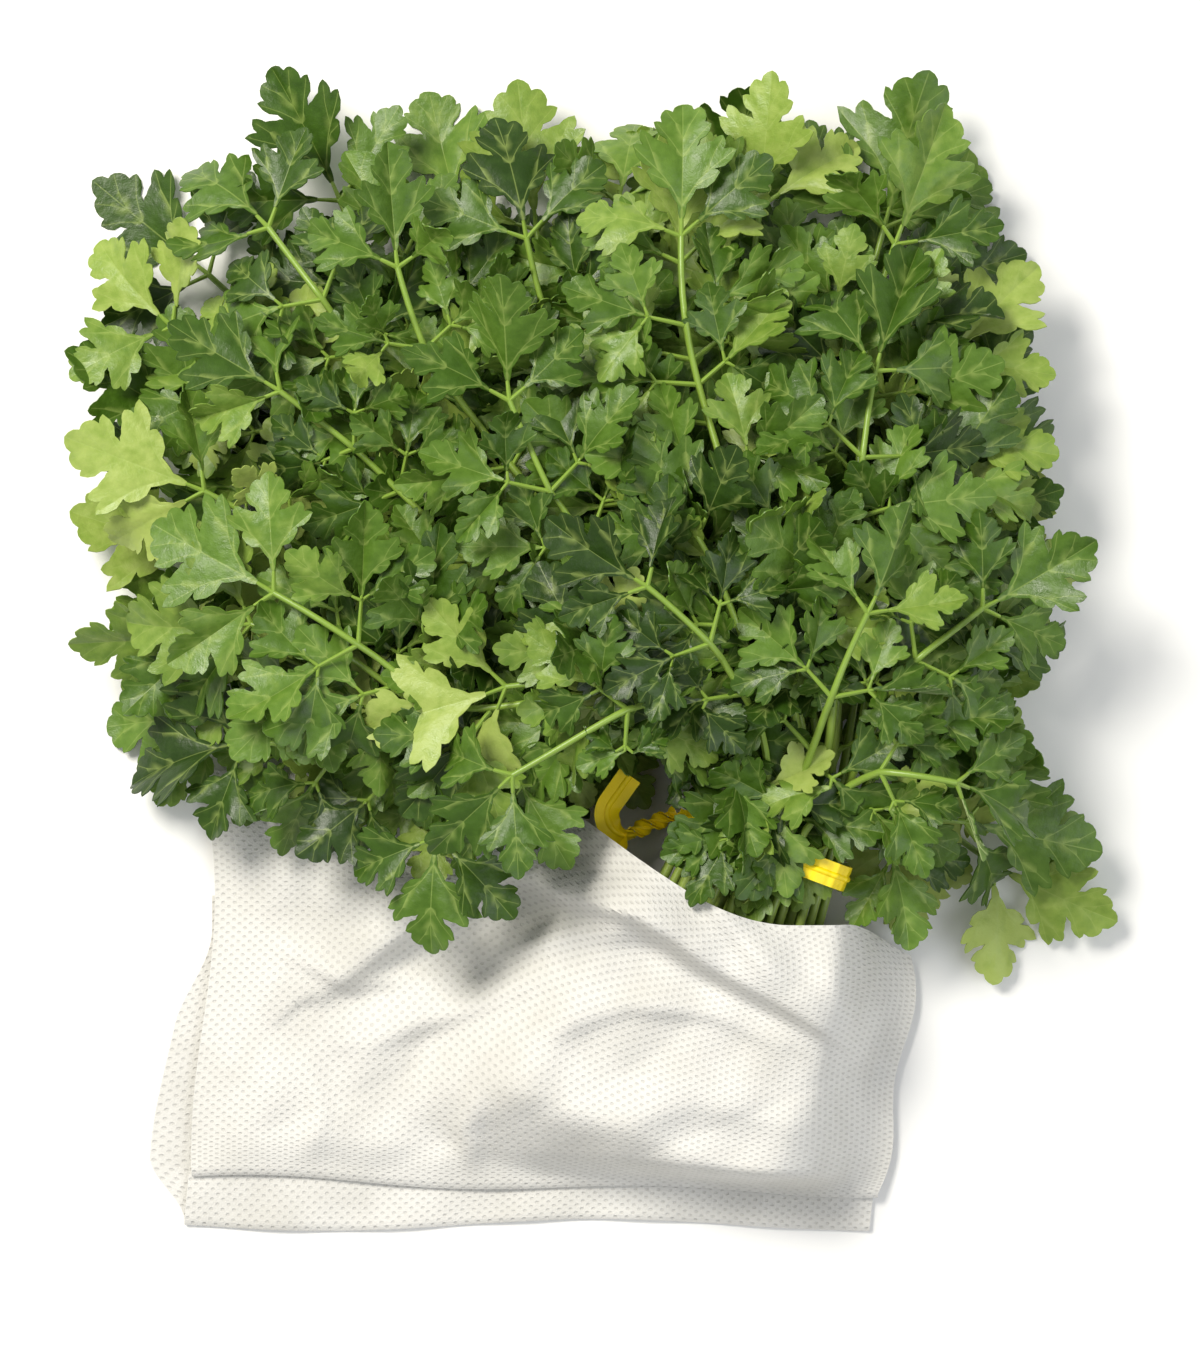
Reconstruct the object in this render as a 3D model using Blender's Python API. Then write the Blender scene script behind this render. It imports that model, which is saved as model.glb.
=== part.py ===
"""A bunch of flat-leaf parsley lying on its side.

Fifty or so cut sprigs are held by one yellow twist tie, and their stem ends sit in a folded paper towel.
The stems run in rows, one above another, so that no sprig cuts through another one: each row's stems fan
out beneath that row's leaves. Sizes are in millimetres and are turned into metres when a mesh is made.
X runs across the bunch, Y from the stem ends to the leaf tips, and Z up from the table.
"""

import math
import random

import bpy
import numpy as np

MM = 0.001
SEED = 7

# The bunch as it lies
MIDDLE = np.array([3.1, 1.2, 0.0])  # the middle of the heap, which becomes the origin
TIE_AT = np.array([46.0, -49.0])  # where the tie crosses the middle of the stems
LEAN = math.radians(69.0)  # the stems' direction through the tie, from +X
TAIL = 72.0  # stem length below the tie
ENDS_SPREAD = 1.45  # how much wider apart the stems are at their cut ends than in the tie
FAN_REACH = 84.0  # distance above the tie over which a stem swings out to its own angle
LEAST_ANGLE = math.radians(9.0)  # between two neighbouring stems of one row

# Heights of the rows of stems: through the tie, at the cut ends and under the leaves
ROW_AT_TIE, PITCH_AT_TIE = 5.2, 4.9
ROW_AT_ENDS, PITCH_AT_ENDS = 4.2, 3.9
ROW_IN_LEAVES, PITCH_IN_LEAVES = 2.2, 9.9
SLOT = 4.7  # between two stems side by side in the tie
SPREAD_FROM, SPREAD_TO = 6.0, 60.0  # where the rows part, above the tie

# A sprig
STEM = 2.8  # width of a stem through the tie
STEM_TIP = 1.9  # width of a stem at its lower fork
STALK = 1.5  # width of a leaflet's own stalk
STEM_STOPS = (-TAIL, -5.0, 8.0, 20.0, 32.0, 45.0, 64.0, 84.0, 110.0, 145.0)  # where a stem may bend
FORK_GAP = 26.0  # from the lower fork to the upper fork
LEAF_RISES = (4.5, 6.4)  # how far the leaves lie above their row's stems, for one sprig and for the next
LEAF_THICK = 0.9
FAN_SIZE = 56.0  # room that one sprig's leaves take

# The heap's outline, as an ellipse that the upper forks stay within
HEAP_AT = np.array([-2.0, 44.0])
HEAP_REACH = np.array([92.0, 76.0])
HEAP_LOW = -30.0  # forks below this hang beside the stems, outside the ellipse

# Upper forks, (x, y, turn of the leaf in degrees, size): one line for each row, from the table up
ROWS = (
    ((-92, 20, 0, 1.0), (-88, 94, 10, 1.0), (-30, 112, 0, 1.0), (34, 110, -10, 1.0), (86, 96, 0, 1.0),
     (92, 24, 0, 1.0), (96, -68, 0, 0.95)),
    ((-84, -18, 15, 0.9), (-92, 54, 0, 0.95), (-60, 112, 0, 0.95), (4, 114, 0, 1.0), (64, 110, -15, 1.0),
     (92, 58, -10, 0.95), (94, -24, 0, 0.95), (-38, 54, 0, 0.95), (26, 56, 0, 1.0)),
    ((-92, 2, 15, 0.82), (-90, 86, 0, 0.88), (-46, 97, 12, 0.78), (24, 116, -14, 0.77), (82, 112, 10, 1.0),
     (92, 36, 6, 0.86), (88, -58, -10, 0.95), (-28, 48, 0, 0.9), (40, 54, 0, 0.85)),
    ((-78, -24, 25, 0.9), (-90, 40, 0, 0.9), (-74, 104, 10, 0.9), (-12, 106, 0, 0.9), (48, 106, 0, 0.9),
     (88, 82, -15, 0.9), (92, 6, -10, 0.9), (-32, 38, 0, 0.9), (32, 42, 0, 0.9)),
    ((-72, 2, 20, 0.95), (-68, 64, 14, 0.78), (-15, 101, -20, 0.8), (36, 100, 0, 0.95), (82, 54, -15, 0.85),
     (84, 110, 0, 0.95), (8, 38, 0, 1.0), (-40, -18, 50, 0.85)),
    ((-24, 58, -30, 0.9), (30, 98, 0, 0.87), (68, 68, -10, 0.9), (-58, 30, 0, 0.95), (-18, 2, 30, 0.95),
     (32, 28, -10, 0.9), (88, 21, -24, 0.82)),
    ((-2, -20, 25, 0.8), (24, -4, 0, 0.8), (52, -2, 0, 0.8), (83, -24, -20, 0.7)),
)

# Outline of a leaflet from its stalk to its tip: share of the length, share of the half width
LEAF_SIDE = ((0.28, 0.46), (0.58, 1.0), (0.71, 0.46))
LEAF_MIDDLE = 0.5
UPPER_LEAFLETS = ((0.0, 30.0, 11.0, 4.0), (56.0, 23.0, 9.0, 4.5), (-56.0, 23.0, 9.0, 4.5))
LOWER_LEAFLETS = ((62.0, 25.0, 12.0, 10.0), (-62.0, 25.0, 12.0, 10.0))

# The twist tie: a ribbon with a wire along its middle
TIE_WIDE, TIE_THICK, TIE_RIDGE = 6.3, 0.7, 0.7
TIE_CLEAR = 1.8  # between the ribbon and the outermost stems
TWIST_LONG, TWIST_TURNS, TWIST_DROP = 12.0, 1.0, math.radians(44.0)
TIE_CURL, TIE_CURL_AT, TIE_END = math.radians(148.0), 4.6, 9.5  # the free end's turn, its radius, its length

# The folded paper towel around the stem ends
TOWEL_THICK = 1.6
TOWEL_FROM, TOWEL_TO = -96.0, 80.0  # its left and right edges
TOWEL_FOOT = -145.0
TOWEL_SIDE = 2.4  # how much thicker it is at its sloping sides
TOWEL_CLEAR = 2.0  # between the towel and the stems under it
TOWEL_FLAT = 7.0  # its height where no stem lifts it
TOWEL_STATIONS = (0.0, 0.05, 0.11, 0.19, 0.32, 0.46, 0.6, 0.74, 0.87, 1.0)  # from the foot to the open edge


def smooth(low, high, value):
    """0 below low, 1 above high, and an easy ramp between."""
    share = np.clip((np.asarray(value, float) - low) / (high - low), 0.0, 1.0)
    return share * share * (3.0 - 2.0 * share)


def heading(angle):
    return np.array([math.cos(angle), math.sin(angle)])


ALONG = heading(LEAN)
ACROSS = heading(LEAN + math.pi / 2)


def lie(points):
    """Lets a flat, layered sprig sag into the heap: waves, and sides that come down. It only slides points,
    more the higher they are, so sprigs that were clear of each other stay clear."""
    points = np.array(points, float)
    away = points[:, :2] - TIE_AT
    far = np.linalg.norm(away, axis=1)
    in_wrap = np.exp(-((away @ ACROSS / 46.0) ** 4)) * smooth(14.0, -14.0, away @ ALONG)
    loose = smooth(26.0, 84.0, far) * (1.0 - in_wrap)
    x, y, z = points.T
    edge = np.clip(((x - HEAP_AT[0]) / 128.0) ** 2 + ((y - HEAP_AT[1]) / 106.0) ** 2, 0.0, 1.3)
    high = 1.0 - 0.34 * edge * loose
    wave = np.sin(x / 13.5 + z / 17.0 + 0.6) * np.cos(y / 15.5 - z / 21.0)
    swell = np.sin(x / 31.0 - y / 24.0 + 1.0)
    lift = 1.0 - np.exp(-z / 16.0)
    points[:, 2] = z * high + loose * lift * (3.6 * wave + 2.6 * swell)
    points[:, 0] = x + loose * 3.4 * np.sin(y / 19.0 + 0.5)
    points[:, 1] = y + loose * 3.0 * np.sin(x / 21.0 - 0.8)
    return points


def stem_height(row, distance):
    """Height of a row's stems at a distance above the tie, which is negative in the towel."""
    at_tie = ROW_AT_TIE + PITCH_AT_TIE * row
    if distance <= 0:
        at_ends = ROW_AT_ENDS + PITCH_AT_ENDS * row
        return at_tie + (at_ends - at_tie) * float(smooth(0.0, TAIL, -distance))
    in_leaves = ROW_IN_LEAVES + PITCH_IN_LEAVES * row
    return at_tie + (in_leaves - at_tie) * float(smooth(SPREAD_FROM, SPREAD_TO, distance))


def stem_point(slot, angle, distance):
    """Plan position along one stem: straight through the towel and the tie, then out to its own angle."""
    if distance <= 0:
        apart = 1.0 + (ENDS_SPREAD - 1.0) * (-distance / TAIL)
        return TIE_AT + ACROSS * slot * apart + ALONG * distance
    turned = angle * float(smooth(-14.0, FAN_REACH, distance))
    fade = 1.0 - 0.75 * float(smooth(0.0, 90.0, distance))
    return TIE_AT + ACROSS * slot * fade + heading(LEAN + turned) * distance


class Shell:
    """Points and outward faces of one sprig, grown as a chain of four-cornered sections."""

    def __init__(self):
        self.points = []
        self.faces = []

    def section(self, centre, forward, wide, high):
        """Four corners across a stem: right low, left low, left high, right high."""
        side = np.array([-forward[1], forward[0], 0.0]) * wide / 2
        up = np.array([0.0, 0.0, high / 2])
        first = len(self.points)
        self.points += [centre - side - up, centre + side - up, centre + side + up, centre - side + up]
        return [first, first + 1, first + 2, first + 3]

    def skin(self, back, front):
        """Walls from one section to the next one."""
        for i in range(4):
            j = (i + 1) % 4
            self.faces.append((back[i], back[j], front[j], front[i]))

    def cap(self, ring):
        """Closes the end of a stem that faces backwards."""
        self.faces.append(tuple(reversed(ring)))

    def fork(self, centre, forward, wide, high):
        """A small block whose back, front, left and right faces each take a stem."""
        ahead = np.array([*forward, 0.0]) * wide * 0.62
        back = self.section(centre - ahead, forward, wide, high)
        front = self.section(centre + ahead, forward, wide, high)
        self.faces.append((back[0], back[1], front[1], front[0]))
        self.faces.append((back[2], back[3], front[3], front[2]))
        left = [front[1], back[1], back[2], front[2]]
        right = [back[0], front[0], front[3], back[3]]
        return back, front, left, right

    def leaflet(self, root, start, forward, length, half, slope, droop, fold):
        """A flat three-lobed leaflet that grows from the section root, with its top and its underside."""
        side = np.array([-forward[1], forward[0]])
        ahead = np.array(forward)
        outline = [(t, -s) for t, s in LEAF_SIDE] + [(1.0, 0.0)] + [(t, s) for t, s in reversed(LEAF_SIDE)]
        rows = [(LEAF_MIDDLE, 0.0)] + outline
        first = len(self.points)
        for level in (0.5, -0.5):
            for t, s in rows:
                plan = start[:2] + ahead * t * length + side * s * half
                height = start[2] + slope * t * length - droop * t * t + fold * abs(s)
                self.points.append(np.array([*plan, height + level * LEAF_THICK]))
        count = len(rows)
        right_low, left_low, left_high, right_high = root
        top = [right_high] + [first + 1 + i for i in range(len(outline))] + [left_high]
        low = [right_low] + [first + count + 1 + i for i in range(len(outline))] + [left_low]
        for i in range(len(top)):
            j = (i + 1) % len(top)
            self.faces.append((first, top[i], top[j]))
            self.faces.append((first + count, low[j], low[i]))
        for i in range(len(top) - 1):
            self.faces.append((low[i], low[i + 1], top[i + 1], top[i]))


def grow_leaflets(shell, faces_of_fork, centre, ahead, leaflets, size, rng):
    """The leaflets of one fork, each on its own short stalk."""
    for turn, length, half, stalk in leaflets:
        root = faces_of_fork[0 if turn == 0 else (1 if turn > 0 else 2)]
        angle = ahead + math.radians(turn + rng.uniform(-5.0, 5.0))
        forward = heading(angle)
        reach = (1.4 + stalk) * size
        start = np.array([*(centre[:2] + forward * reach), centre[2] + rng.uniform(-0.2, 0.3)])
        ring = shell.section(start, forward, STALK, STALK * 0.8)
        shell.skin(root, ring)
        shell.leaflet(ring, start, forward, length * size * rng.uniform(0.9, 1.08), half * size,
                      rng.uniform(-0.02, 0.05), rng.uniform(0.0, 1.4), rng.uniform(-0.8, 1.2))


def sprig(row, rise, slot, angle, distance, turn, size, rng):
    """Points and faces of one sprig: its stem, two forks and five leaflets."""
    shell = Shell()
    lower = distance - FORK_GAP * size
    stops = [s for s in STEM_STOPS if s < lower - 9.0] + [lower - 4.0]
    cut_end = rng.uniform(-3.0, 5.0)
    ring = None
    rise_from = lower - 16.0
    for stop in stops:
        s = stop + (cut_end if stop == -TAIL else 0.0)
        here = stem_point(slot, angle, s)
        ahead = stem_point(slot, angle, s + 2.0) - stem_point(slot, angle, s - 2.0)
        ahead = ahead / np.linalg.norm(ahead)
        height = stem_height(row, s) + rise * 0.5 * float(smooth(rise_from, lower, s))
        wide = STEM + (STEM_TIP - STEM) * float(smooth(0.0, max(lower, 1.0), s))
        section = shell.section(np.array([*here, height]), ahead, wide, wide)
        if ring is None:
            shell.cap(section)
        else:
            shell.skin(ring, section)
        ring = section
    fork_low = stem_point(slot, angle, lower)
    fork_high = stem_point(slot, angle, distance)
    ahead = fork_high - fork_low
    level = stem_height(row, lower) + rise
    direction = math.atan2(ahead[1], ahead[0]) + math.radians(turn) * 0.5
    span = np.linalg.norm(ahead)
    fork_high = fork_low + heading(direction) * span
    centre = np.array([*fork_low, level])
    back, front, left, right = shell.fork(centre, heading(direction), STEM_TIP, STEM_TIP * 0.9)
    shell.skin(ring, back)
    grow_leaflets(shell, (front, left, right), centre, direction, LOWER_LEAFLETS, size, rng)
    level_high = stem_height(row, distance) + rise
    centre = np.array([*fork_high, level_high])
    back_high, front, left, right = shell.fork(centre, heading(direction), STALK, STALK * 0.9)
    front_of_low = [corner + 4 for corner in back]
    shell.skin(front_of_low, back_high)
    grow_leaflets(shell, (front, left, right), centre, direction + math.radians(turn) * 0.5,
                  UPPER_LEAFLETS, size, rng)
    return shell


def part_hubs(hubs):
    """Pushes the upper forks of one row apart until each sprig's leaves have room, inside the heap."""
    hubs = [np.array(hub[:2], float) for hub in hubs]
    for _ in range(60):
        for i, one in enumerate(hubs):
            for other in hubs[i + 1:]:
                gap = other - one
                short = FAN_SIZE - np.linalg.norm(gap)
                if short > 0:
                    push = gap / np.linalg.norm(gap) * short * 0.5
                    one -= push
                    other += push
        for hub in hubs:
            out = (hub - HEAP_AT) / HEAP_REACH
            past = max(float(np.sum(out ** 4)) ** 0.25, 1.0)
            if hub[1] > HEAP_LOW:
                hub[:] = HEAP_AT + (hub - HEAP_AT) / past
    return hubs


def row_of_sprigs(hubs):
    """Stem slot, angle, distance, turn and size of each sprig in one row, from right to left."""
    placed = []
    for hub, at in zip(hubs, part_hubs(hubs)):
        away = at - TIE_AT
        angle = (math.atan2(away[1], away[0]) - LEAN + math.pi) % (2 * math.pi) - math.pi
        placed.append([angle, float(np.linalg.norm(away)), hub[2], hub[3]])
    placed.sort()
    for before, after in zip(placed, placed[1:]):
        sideways = float(smooth(math.radians(55.0), math.radians(92.0), abs(before[0])))
        after[0] = max(after[0], before[0] + LEAST_ANGLE * (1.0 + 0.75 * sideways))
    middle = (len(placed) - 1) / 2
    return [((i - middle) * SLOT, *rest) for i, rest in enumerate(placed)]


def add_object(name, points, faces, material, smooth_faces=False):
    mesh = bpy.data.meshes.new(name)
    mesh.from_pydata([tuple((np.asarray(p, float) - MIDDLE) * MM) for p in points], [], faces)
    mesh.materials.append(material)
    mesh.validate()
    if smooth_faces:
        mesh.shade_smooth()
    obj = bpy.data.objects.new(name, mesh)
    bpy.context.scene.collection.objects.link(obj)
    return obj


def make_material(name, colour, roughness, metallic=0.0):
    material = bpy.data.materials.new(name)
    material.use_nodes = True
    shader = material.node_tree.nodes["Principled BSDF"]
    shader.inputs["Base Color"].default_value = (*colour, 1.0)
    shader.inputs["Roughness"].default_value = roughness
    shader.inputs["Metallic"].default_value = metallic
    return material


def make_sprigs(material):
    rng = random.Random(SEED)
    number = 0
    for row, hubs in enumerate(ROWS):
        for slot, angle, distance, turn, size in row_of_sprigs(hubs):
            number += 1
            rise = LEAF_RISES[number % 2]
            shell = sprig(row, rise, slot, angle, distance, turn, size, rng)
            add_object(f"sprig_{number:02d}", lie(shell.points), shell.faces, material)


def bundle_half_width():
    return SLOT * (max(len(row) for row in ROWS) - 1) / 2 + STEM / 2


def loop_point(turn, grow):
    """A point on the oval around the stems at the tie, as (across, height), grown outwards."""
    low = ROW_AT_TIE - STEM / 2
    high = ROW_AT_TIE + PITCH_AT_TIE * (len(ROWS) - 1) + STEM / 2
    wide = bundle_half_width() + TIE_CLEAR + grow
    tall = (high - low) / 2 + TIE_CLEAR + grow
    power = 0.42
    across = math.copysign(abs(math.cos(turn)) ** power, math.cos(turn)) * wide
    height = math.copysign(abs(math.sin(turn)) ** power, math.sin(turn)) * tall
    return across, height + (low + high) / 2


def make_tie(material):
    """The ribbon round the stems, its twisted ends, and a flat cut end on each side of the twist."""
    stations = 32
    profile = ((-0.5, 0.0), (0.5, 0.0), (0.5, 1.0), (0.13, 1.0), (0.1, 2.0),
               (-0.1, 2.0), (-0.13, 1.0), (-0.5, 1.0))
    points = []
    faces = []
    for i in range(stations):
        turn = 2 * math.pi * (i + 0.5) / stations
        for along, out in profile:
            grow = out * TIE_THICK if out <= 1.0 else TIE_THICK + TIE_RIDGE
            across, height = loop_point(turn, grow)
            plan = TIE_AT + ACROSS * across + ALONG * along * TIE_WIDE
            points.append((*plan, height))
    count = len(profile)
    for i in range(stations):
        for j in range(count):
            k = (j + 1) % count
            here, there = i * count, (i + 1) % stations * count
            faces.append((here + j, here + k, there + k, there + j))
    loop = add_object("twist_tie", points, faces, material)
    twist = make_twist(material)
    join = loop.modifiers.new("twist", "BOOLEAN")
    join.operation = "UNION"
    join.object = twist
    twist.hide_render = True
    twist.display_type = "WIRE"
    return loop


def make_twist(material):
    """The twisted ends of the ribbon: a screw-like bar from the loop's left side, then a flat end that curls
    round and points back up the stems."""
    across, height = loop_point(0.0, TIE_THICK * 0.4)
    place = np.array([*(TIE_AT + ACROSS * (across + 0.9)), height - 4.0])
    course = LEAN + math.pi / 2 + TWIST_DROP
    sections = []
    steps = 14
    for i in range(steps + 1):
        share = i / steps
        roll = 2 * math.pi * TWIST_TURNS * share
        side = np.array([*heading(course + math.pi / 2), 0.0])
        flat = side * math.cos(roll) + np.array([0.0, 0.0, math.sin(roll)])
        thick = np.array([0.0, 0.0, math.cos(roll)]) - side * math.sin(roll)
        wide = flat * TIE_WIDE / 2 * (0.62 + 0.38 * float(smooth(0.72, 1.0, share)))
        sections.append((place + np.array([*heading(course), 0.0]) * TWIST_LONG * share, wide, thick))
    place = sections[-1][0]
    bends = 8
    for i in range(1, bends + 2):
        turned = course - TIE_CURL * min(i / bends, 1.0)
        reach = TIE_CURL * TIE_CURL_AT / bends if i <= bends else TIE_END
        place = place + np.array([*heading(turned), 0.0]) * reach + np.array([0.0, 0.0, reach * 0.28])
        wide = np.array([*heading(turned + math.pi / 2), 0.0]) * TIE_WIDE / 2
        sections.append((place, wide, np.array([0.0, 0.0, 1.0])))
    points = []
    for centre, wide, thick in sections:
        deep = thick * TIE_THICK * 1.3 / 2
        points += [centre - wide - deep, centre + wide - deep, centre + wide + deep, centre - wide + deep]
    faces = [(3, 2, 1, 0)]
    for i in range(len(sections) - 1):
        for j in range(4):
            k = (j + 1) % 4
            faces.append((4 * i + j, 4 * i + k, 4 * i + 4 + k, 4 * i + 4 + j))
    last = len(points) - 4
    faces.append((last, last + 1, last + 2, last + 3))
    return add_object("twist_guide", points, faces, material)


def towel_mouth(x):
    """Where the towel's open edge runs: level on the left, then down along the stems to the right."""
    return -30.0 - 38.0 * float(smooth(-30.0, 52.0, x)) - 8.0 * float(smooth(62.0, 80.0, x))


def towel_height(x, y, share):
    """Height of the towel's upper ply: it lies over the stems and falls flat beside them."""
    away = np.array([x, y]) - TIE_AT
    down = min(max(-float(away @ ALONG), 0.0), TAIL)
    half = bundle_half_width() * (1.0 + (ENDS_SPREAD - 1.0) * down / TAIL)
    top = stem_height(len(ROWS) - 1, -down) + STEM / 2 + TOWEL_CLEAR + TOWEL_THICK
    past = abs(float(away @ ACROSS)) - half - 2.0
    lifted = 1.0 - float(smooth(0.0, 26.0, past))
    beyond = float(smooth(TOWEL_FOOT - 4.0, TOWEL_FOOT + 12.0, y))
    flat = TOWEL_FLAT - 2.0 * (1.0 - share)
    crease = 1.1 * math.sin(x / 9.0 + y / 17.0) * (1.0 - lifted)
    return flat + (top - flat) * lifted * beyond + crease * beyond


def towel_ring(share, inset):
    """One closed loop across the towel, along the table and back over the stems, set in by inset."""
    across = 20
    left = TOWEL_FROM + 3.0 * math.sin(share * 5.0)
    right = TOWEL_TO - 10.0 * (1.0 - share)
    points = []
    xs = [left + (right - left) * i / across for i in range(across + 1)]
    xs[0] += inset * TOWEL_SIDE
    xs[-1] -= inset * TOWEL_SIDE
    for x in xs:
        y = max(TOWEL_FOOT + (towel_mouth(x) - TOWEL_FOOT) * share, TOWEL_FOOT + inset)
        points.append((x, y, inset))
    for x in reversed(xs[1:-1]):
        y = max(TOWEL_FOOT + (towel_mouth(x) - TOWEL_FOOT) * share, TOWEL_FOOT + inset)
        edge = min(x - left, right - x)
        rounded = float(smooth(-4.0, 14.0, edge)) ** 0.5
        height = (towel_height(x, y, share) - 2.0 * inset) * rounded + inset
        points.append((x, y, max(height, 1.2 + inset)))
    return points


def make_towel(material):
    """The folded towel: two plies, closed at the sides and at the foot, open where the stems go in."""
    rings = [towel_ring(share, 0.0) for share in TOWEL_STATIONS]
    rings += [towel_ring(share, TOWEL_THICK) for share in reversed(TOWEL_STATIONS)]
    count = len(rings[0])
    points = [point for ring in rings for point in ring]
    faces = []
    for i in range(len(rings) - 1):
        for j in range(count):
            k = (j + 1) % count
            a, b, c, d = i * count + k, i * count + j, (i + 1) * count + j, (i + 1) * count + k
            if i < len(TOWEL_STATIONS):
                faces += [(a, b, c), (a, c, d)]
            else:
                faces += [(a, b, d), (b, c, d)]
    half = (count - 2) // 2 + 1
    for start, flip in ((0, True), ((len(rings) - 1) * count, False)):
        for j in range(half):
            low = (start + j, start + j + 1)
            high = (start + (count - j) % count, start + count - j - 1)
            face = (low[0], high[0], high[1], low[1])
            face = tuple(dict.fromkeys(face))
            faces.append(face[::-1] if flip else face)
    return add_object("paper_towel", points, faces, material, smooth_faces=True)


def main():
    for obj in list(bpy.data.objects):
        bpy.data.objects.remove(obj, do_unlink=True)
    leaf = make_material("parsley", (0.10, 0.20, 0.045), 0.5)
    ribbon = make_material("yellow ribbon", (0.93, 0.66, 0.02), 0.4)
    paper = make_material("paper towel", (0.82, 0.80, 0.76), 0.95)
    make_sprigs(leaf)
    make_tie(ribbon)
    make_towel(paper)


main()
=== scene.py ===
"""The looks of a bunch of flat-leaf parsley that lies on its side, with a twist tie and a paper towel.

Each cut sprig of the frame is grown again along the same rules that lay out its solid: a ribbed stem, two
forks with nine toothed leaflets, and side branches with more. The ribbon of the tie and the folded towel
replace their solids too. Lengths are in millimetres until a mesh is made.
"""

import logging
import math
import random
from dataclasses import dataclass, field
from enum import Enum
from typing import Iterable, Sequence

import bpy
import numpy as np
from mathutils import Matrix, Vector
from mathutils.geometry import delaunay_2d_cdt


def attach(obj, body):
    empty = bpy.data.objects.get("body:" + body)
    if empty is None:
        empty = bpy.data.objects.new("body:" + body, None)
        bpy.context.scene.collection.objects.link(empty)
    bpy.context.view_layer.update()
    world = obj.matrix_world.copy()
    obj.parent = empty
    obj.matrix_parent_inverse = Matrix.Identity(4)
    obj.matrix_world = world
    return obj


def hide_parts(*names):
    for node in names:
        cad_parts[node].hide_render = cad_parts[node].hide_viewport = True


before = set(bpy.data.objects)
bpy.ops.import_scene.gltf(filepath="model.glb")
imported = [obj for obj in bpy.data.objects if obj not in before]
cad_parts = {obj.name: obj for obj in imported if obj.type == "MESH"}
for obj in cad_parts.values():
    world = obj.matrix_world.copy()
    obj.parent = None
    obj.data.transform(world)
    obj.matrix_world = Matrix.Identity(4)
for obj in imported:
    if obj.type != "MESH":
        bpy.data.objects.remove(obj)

log = logging.getLogger("parsley")

MM = 0.001
SEED = 7
Point = np.ndarray
Object = bpy.types.Object
Material = bpy.types.Material
Socket = bpy.types.NodeSocket

# --- The bunch as it lies: the same driving sizes as its solids ---------------------------------------
MIDDLE = np.array([3.1, 1.2, 0.0])
TIE_AT = np.array([46.0, -49.0])
LEAN = math.radians(69.0)
TAIL = 72.0
ENDS_SPREAD = 1.45
FAN_REACH = 84.0
LEAST_ANGLE = math.radians(9.0)
ROW_AT_TIE, PITCH_AT_TIE = 5.2, 4.9
ROW_AT_ENDS, PITCH_AT_ENDS = 4.2, 3.9
ROW_IN_LEAVES, PITCH_IN_LEAVES = 2.2, 9.9
SLOT = 4.7
SPREAD_FROM, SPREAD_TO = 6.0, 60.0
STEM, STEM_TIP, STALK = 2.8, 1.9, 1.5
FORK_GAP = 26.0
LEAF_RISES = (4.5, 6.4)
FAN_SIZE = 56.0
LEFT_DRAWS = 2  # numbers that a solid's leaflet draws for its droop and fold, and that this one leaves out
HEAP_AT = np.array([-2.0, 44.0])
HEAP_REACH = np.array([92.0, 76.0])
HEAP_LOW = -30.0
ROWS = (
    ((-92, 20, 0, 1.0), (-88, 94, 10, 1.0), (-30, 112, 0, 1.0), (34, 110, -10, 1.0), (86, 96, 0, 1.0),
     (92, 24, 0, 1.0), (96, -68, 0, 0.95)),
    ((-84, -18, 15, 0.9), (-92, 54, 0, 0.95), (-60, 112, 0, 0.95), (4, 114, 0, 1.0), (64, 110, -15, 1.0),
     (92, 58, -10, 0.95), (94, -24, 0, 0.95), (-38, 54, 0, 0.95), (26, 56, 0, 1.0)),
    ((-92, 2, 15, 0.82), (-90, 86, 0, 0.88), (-46, 97, 12, 0.78), (24, 116, -14, 0.77), (82, 112, 10, 1.0),
     (92, 36, 6, 0.86), (88, -58, -10, 0.95), (-28, 48, 0, 0.9), (40, 54, 0, 0.85)),
    ((-78, -24, 25, 0.9), (-90, 40, 0, 0.9), (-74, 104, 10, 0.9), (-12, 106, 0, 0.9), (48, 106, 0, 0.9),
     (88, 82, -15, 0.9), (92, 6, -10, 0.9), (-32, 38, 0, 0.9), (32, 42, 0, 0.9)),
    ((-72, 2, 20, 0.95), (-68, 64, 14, 0.78), (-15, 101, -20, 0.8), (36, 100, 0, 0.95), (82, 54, -15, 0.85),
     (84, 110, 0, 0.95), (8, 38, 0, 1.0), (-40, -18, 50, 0.85)),
    ((-24, 58, -30, 0.9), (30, 98, 0, 0.87), (68, 68, -10, 0.9), (-58, 30, 0, 0.95), (-18, 2, 30, 0.95),
     (32, 28, -10, 0.9), (88, 21, -24, 0.82)),
    ((-2, -20, 25, 0.8), (24, -4, 0, 0.8), (52, -2, 0, 0.8), (83, -24, -20, 0.7)),
)
UPPER_LEAFLETS = ((0.0, 30.0, 4.0), (56.0, 23.0, 4.5), (-56.0, 23.0, 4.5))
LOWER_LEAFLETS = ((62.0, 25.0, 10.0), (-62.0, 25.0, 10.0))

# --- The visible surface ------------------------------------------------------------------------------
LEAF_GAUGE = 0.28  # thickness of a leaflet
EDGE = np.array([134.0, 147.0])  # how far a leaf tip reaches from the middle, across and along
UPPER_ROWS = 4  # the rows from here up show, and carry leaves further down their stems
TIE_SHOWS = ((np.array([11.0, -35.0]), 16.0), (np.array([67.0, -56.0]), 12.0))  # places kept clear of leaves
OVER_TIE = 26.0  # an upper row's branches below this height lean back over the tie
BRANCH_FROM = (46.0, 8.0)  # lowest side branch above the tie, for a lower row and for an upper one
LEAF_MESH = 1.25  # distance between the points of a leaflet's surface
LEAF_BUILD = 24.0  # length at which the leaflet patterns are drawn
PATTERNS = 14
TOWEL_GAUGE = 0.45
TOWEL_MESH = 1.35
EMBOSS = (3.0, 2.2)  # the towel's embossed dots repeat after this, across and along


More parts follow.
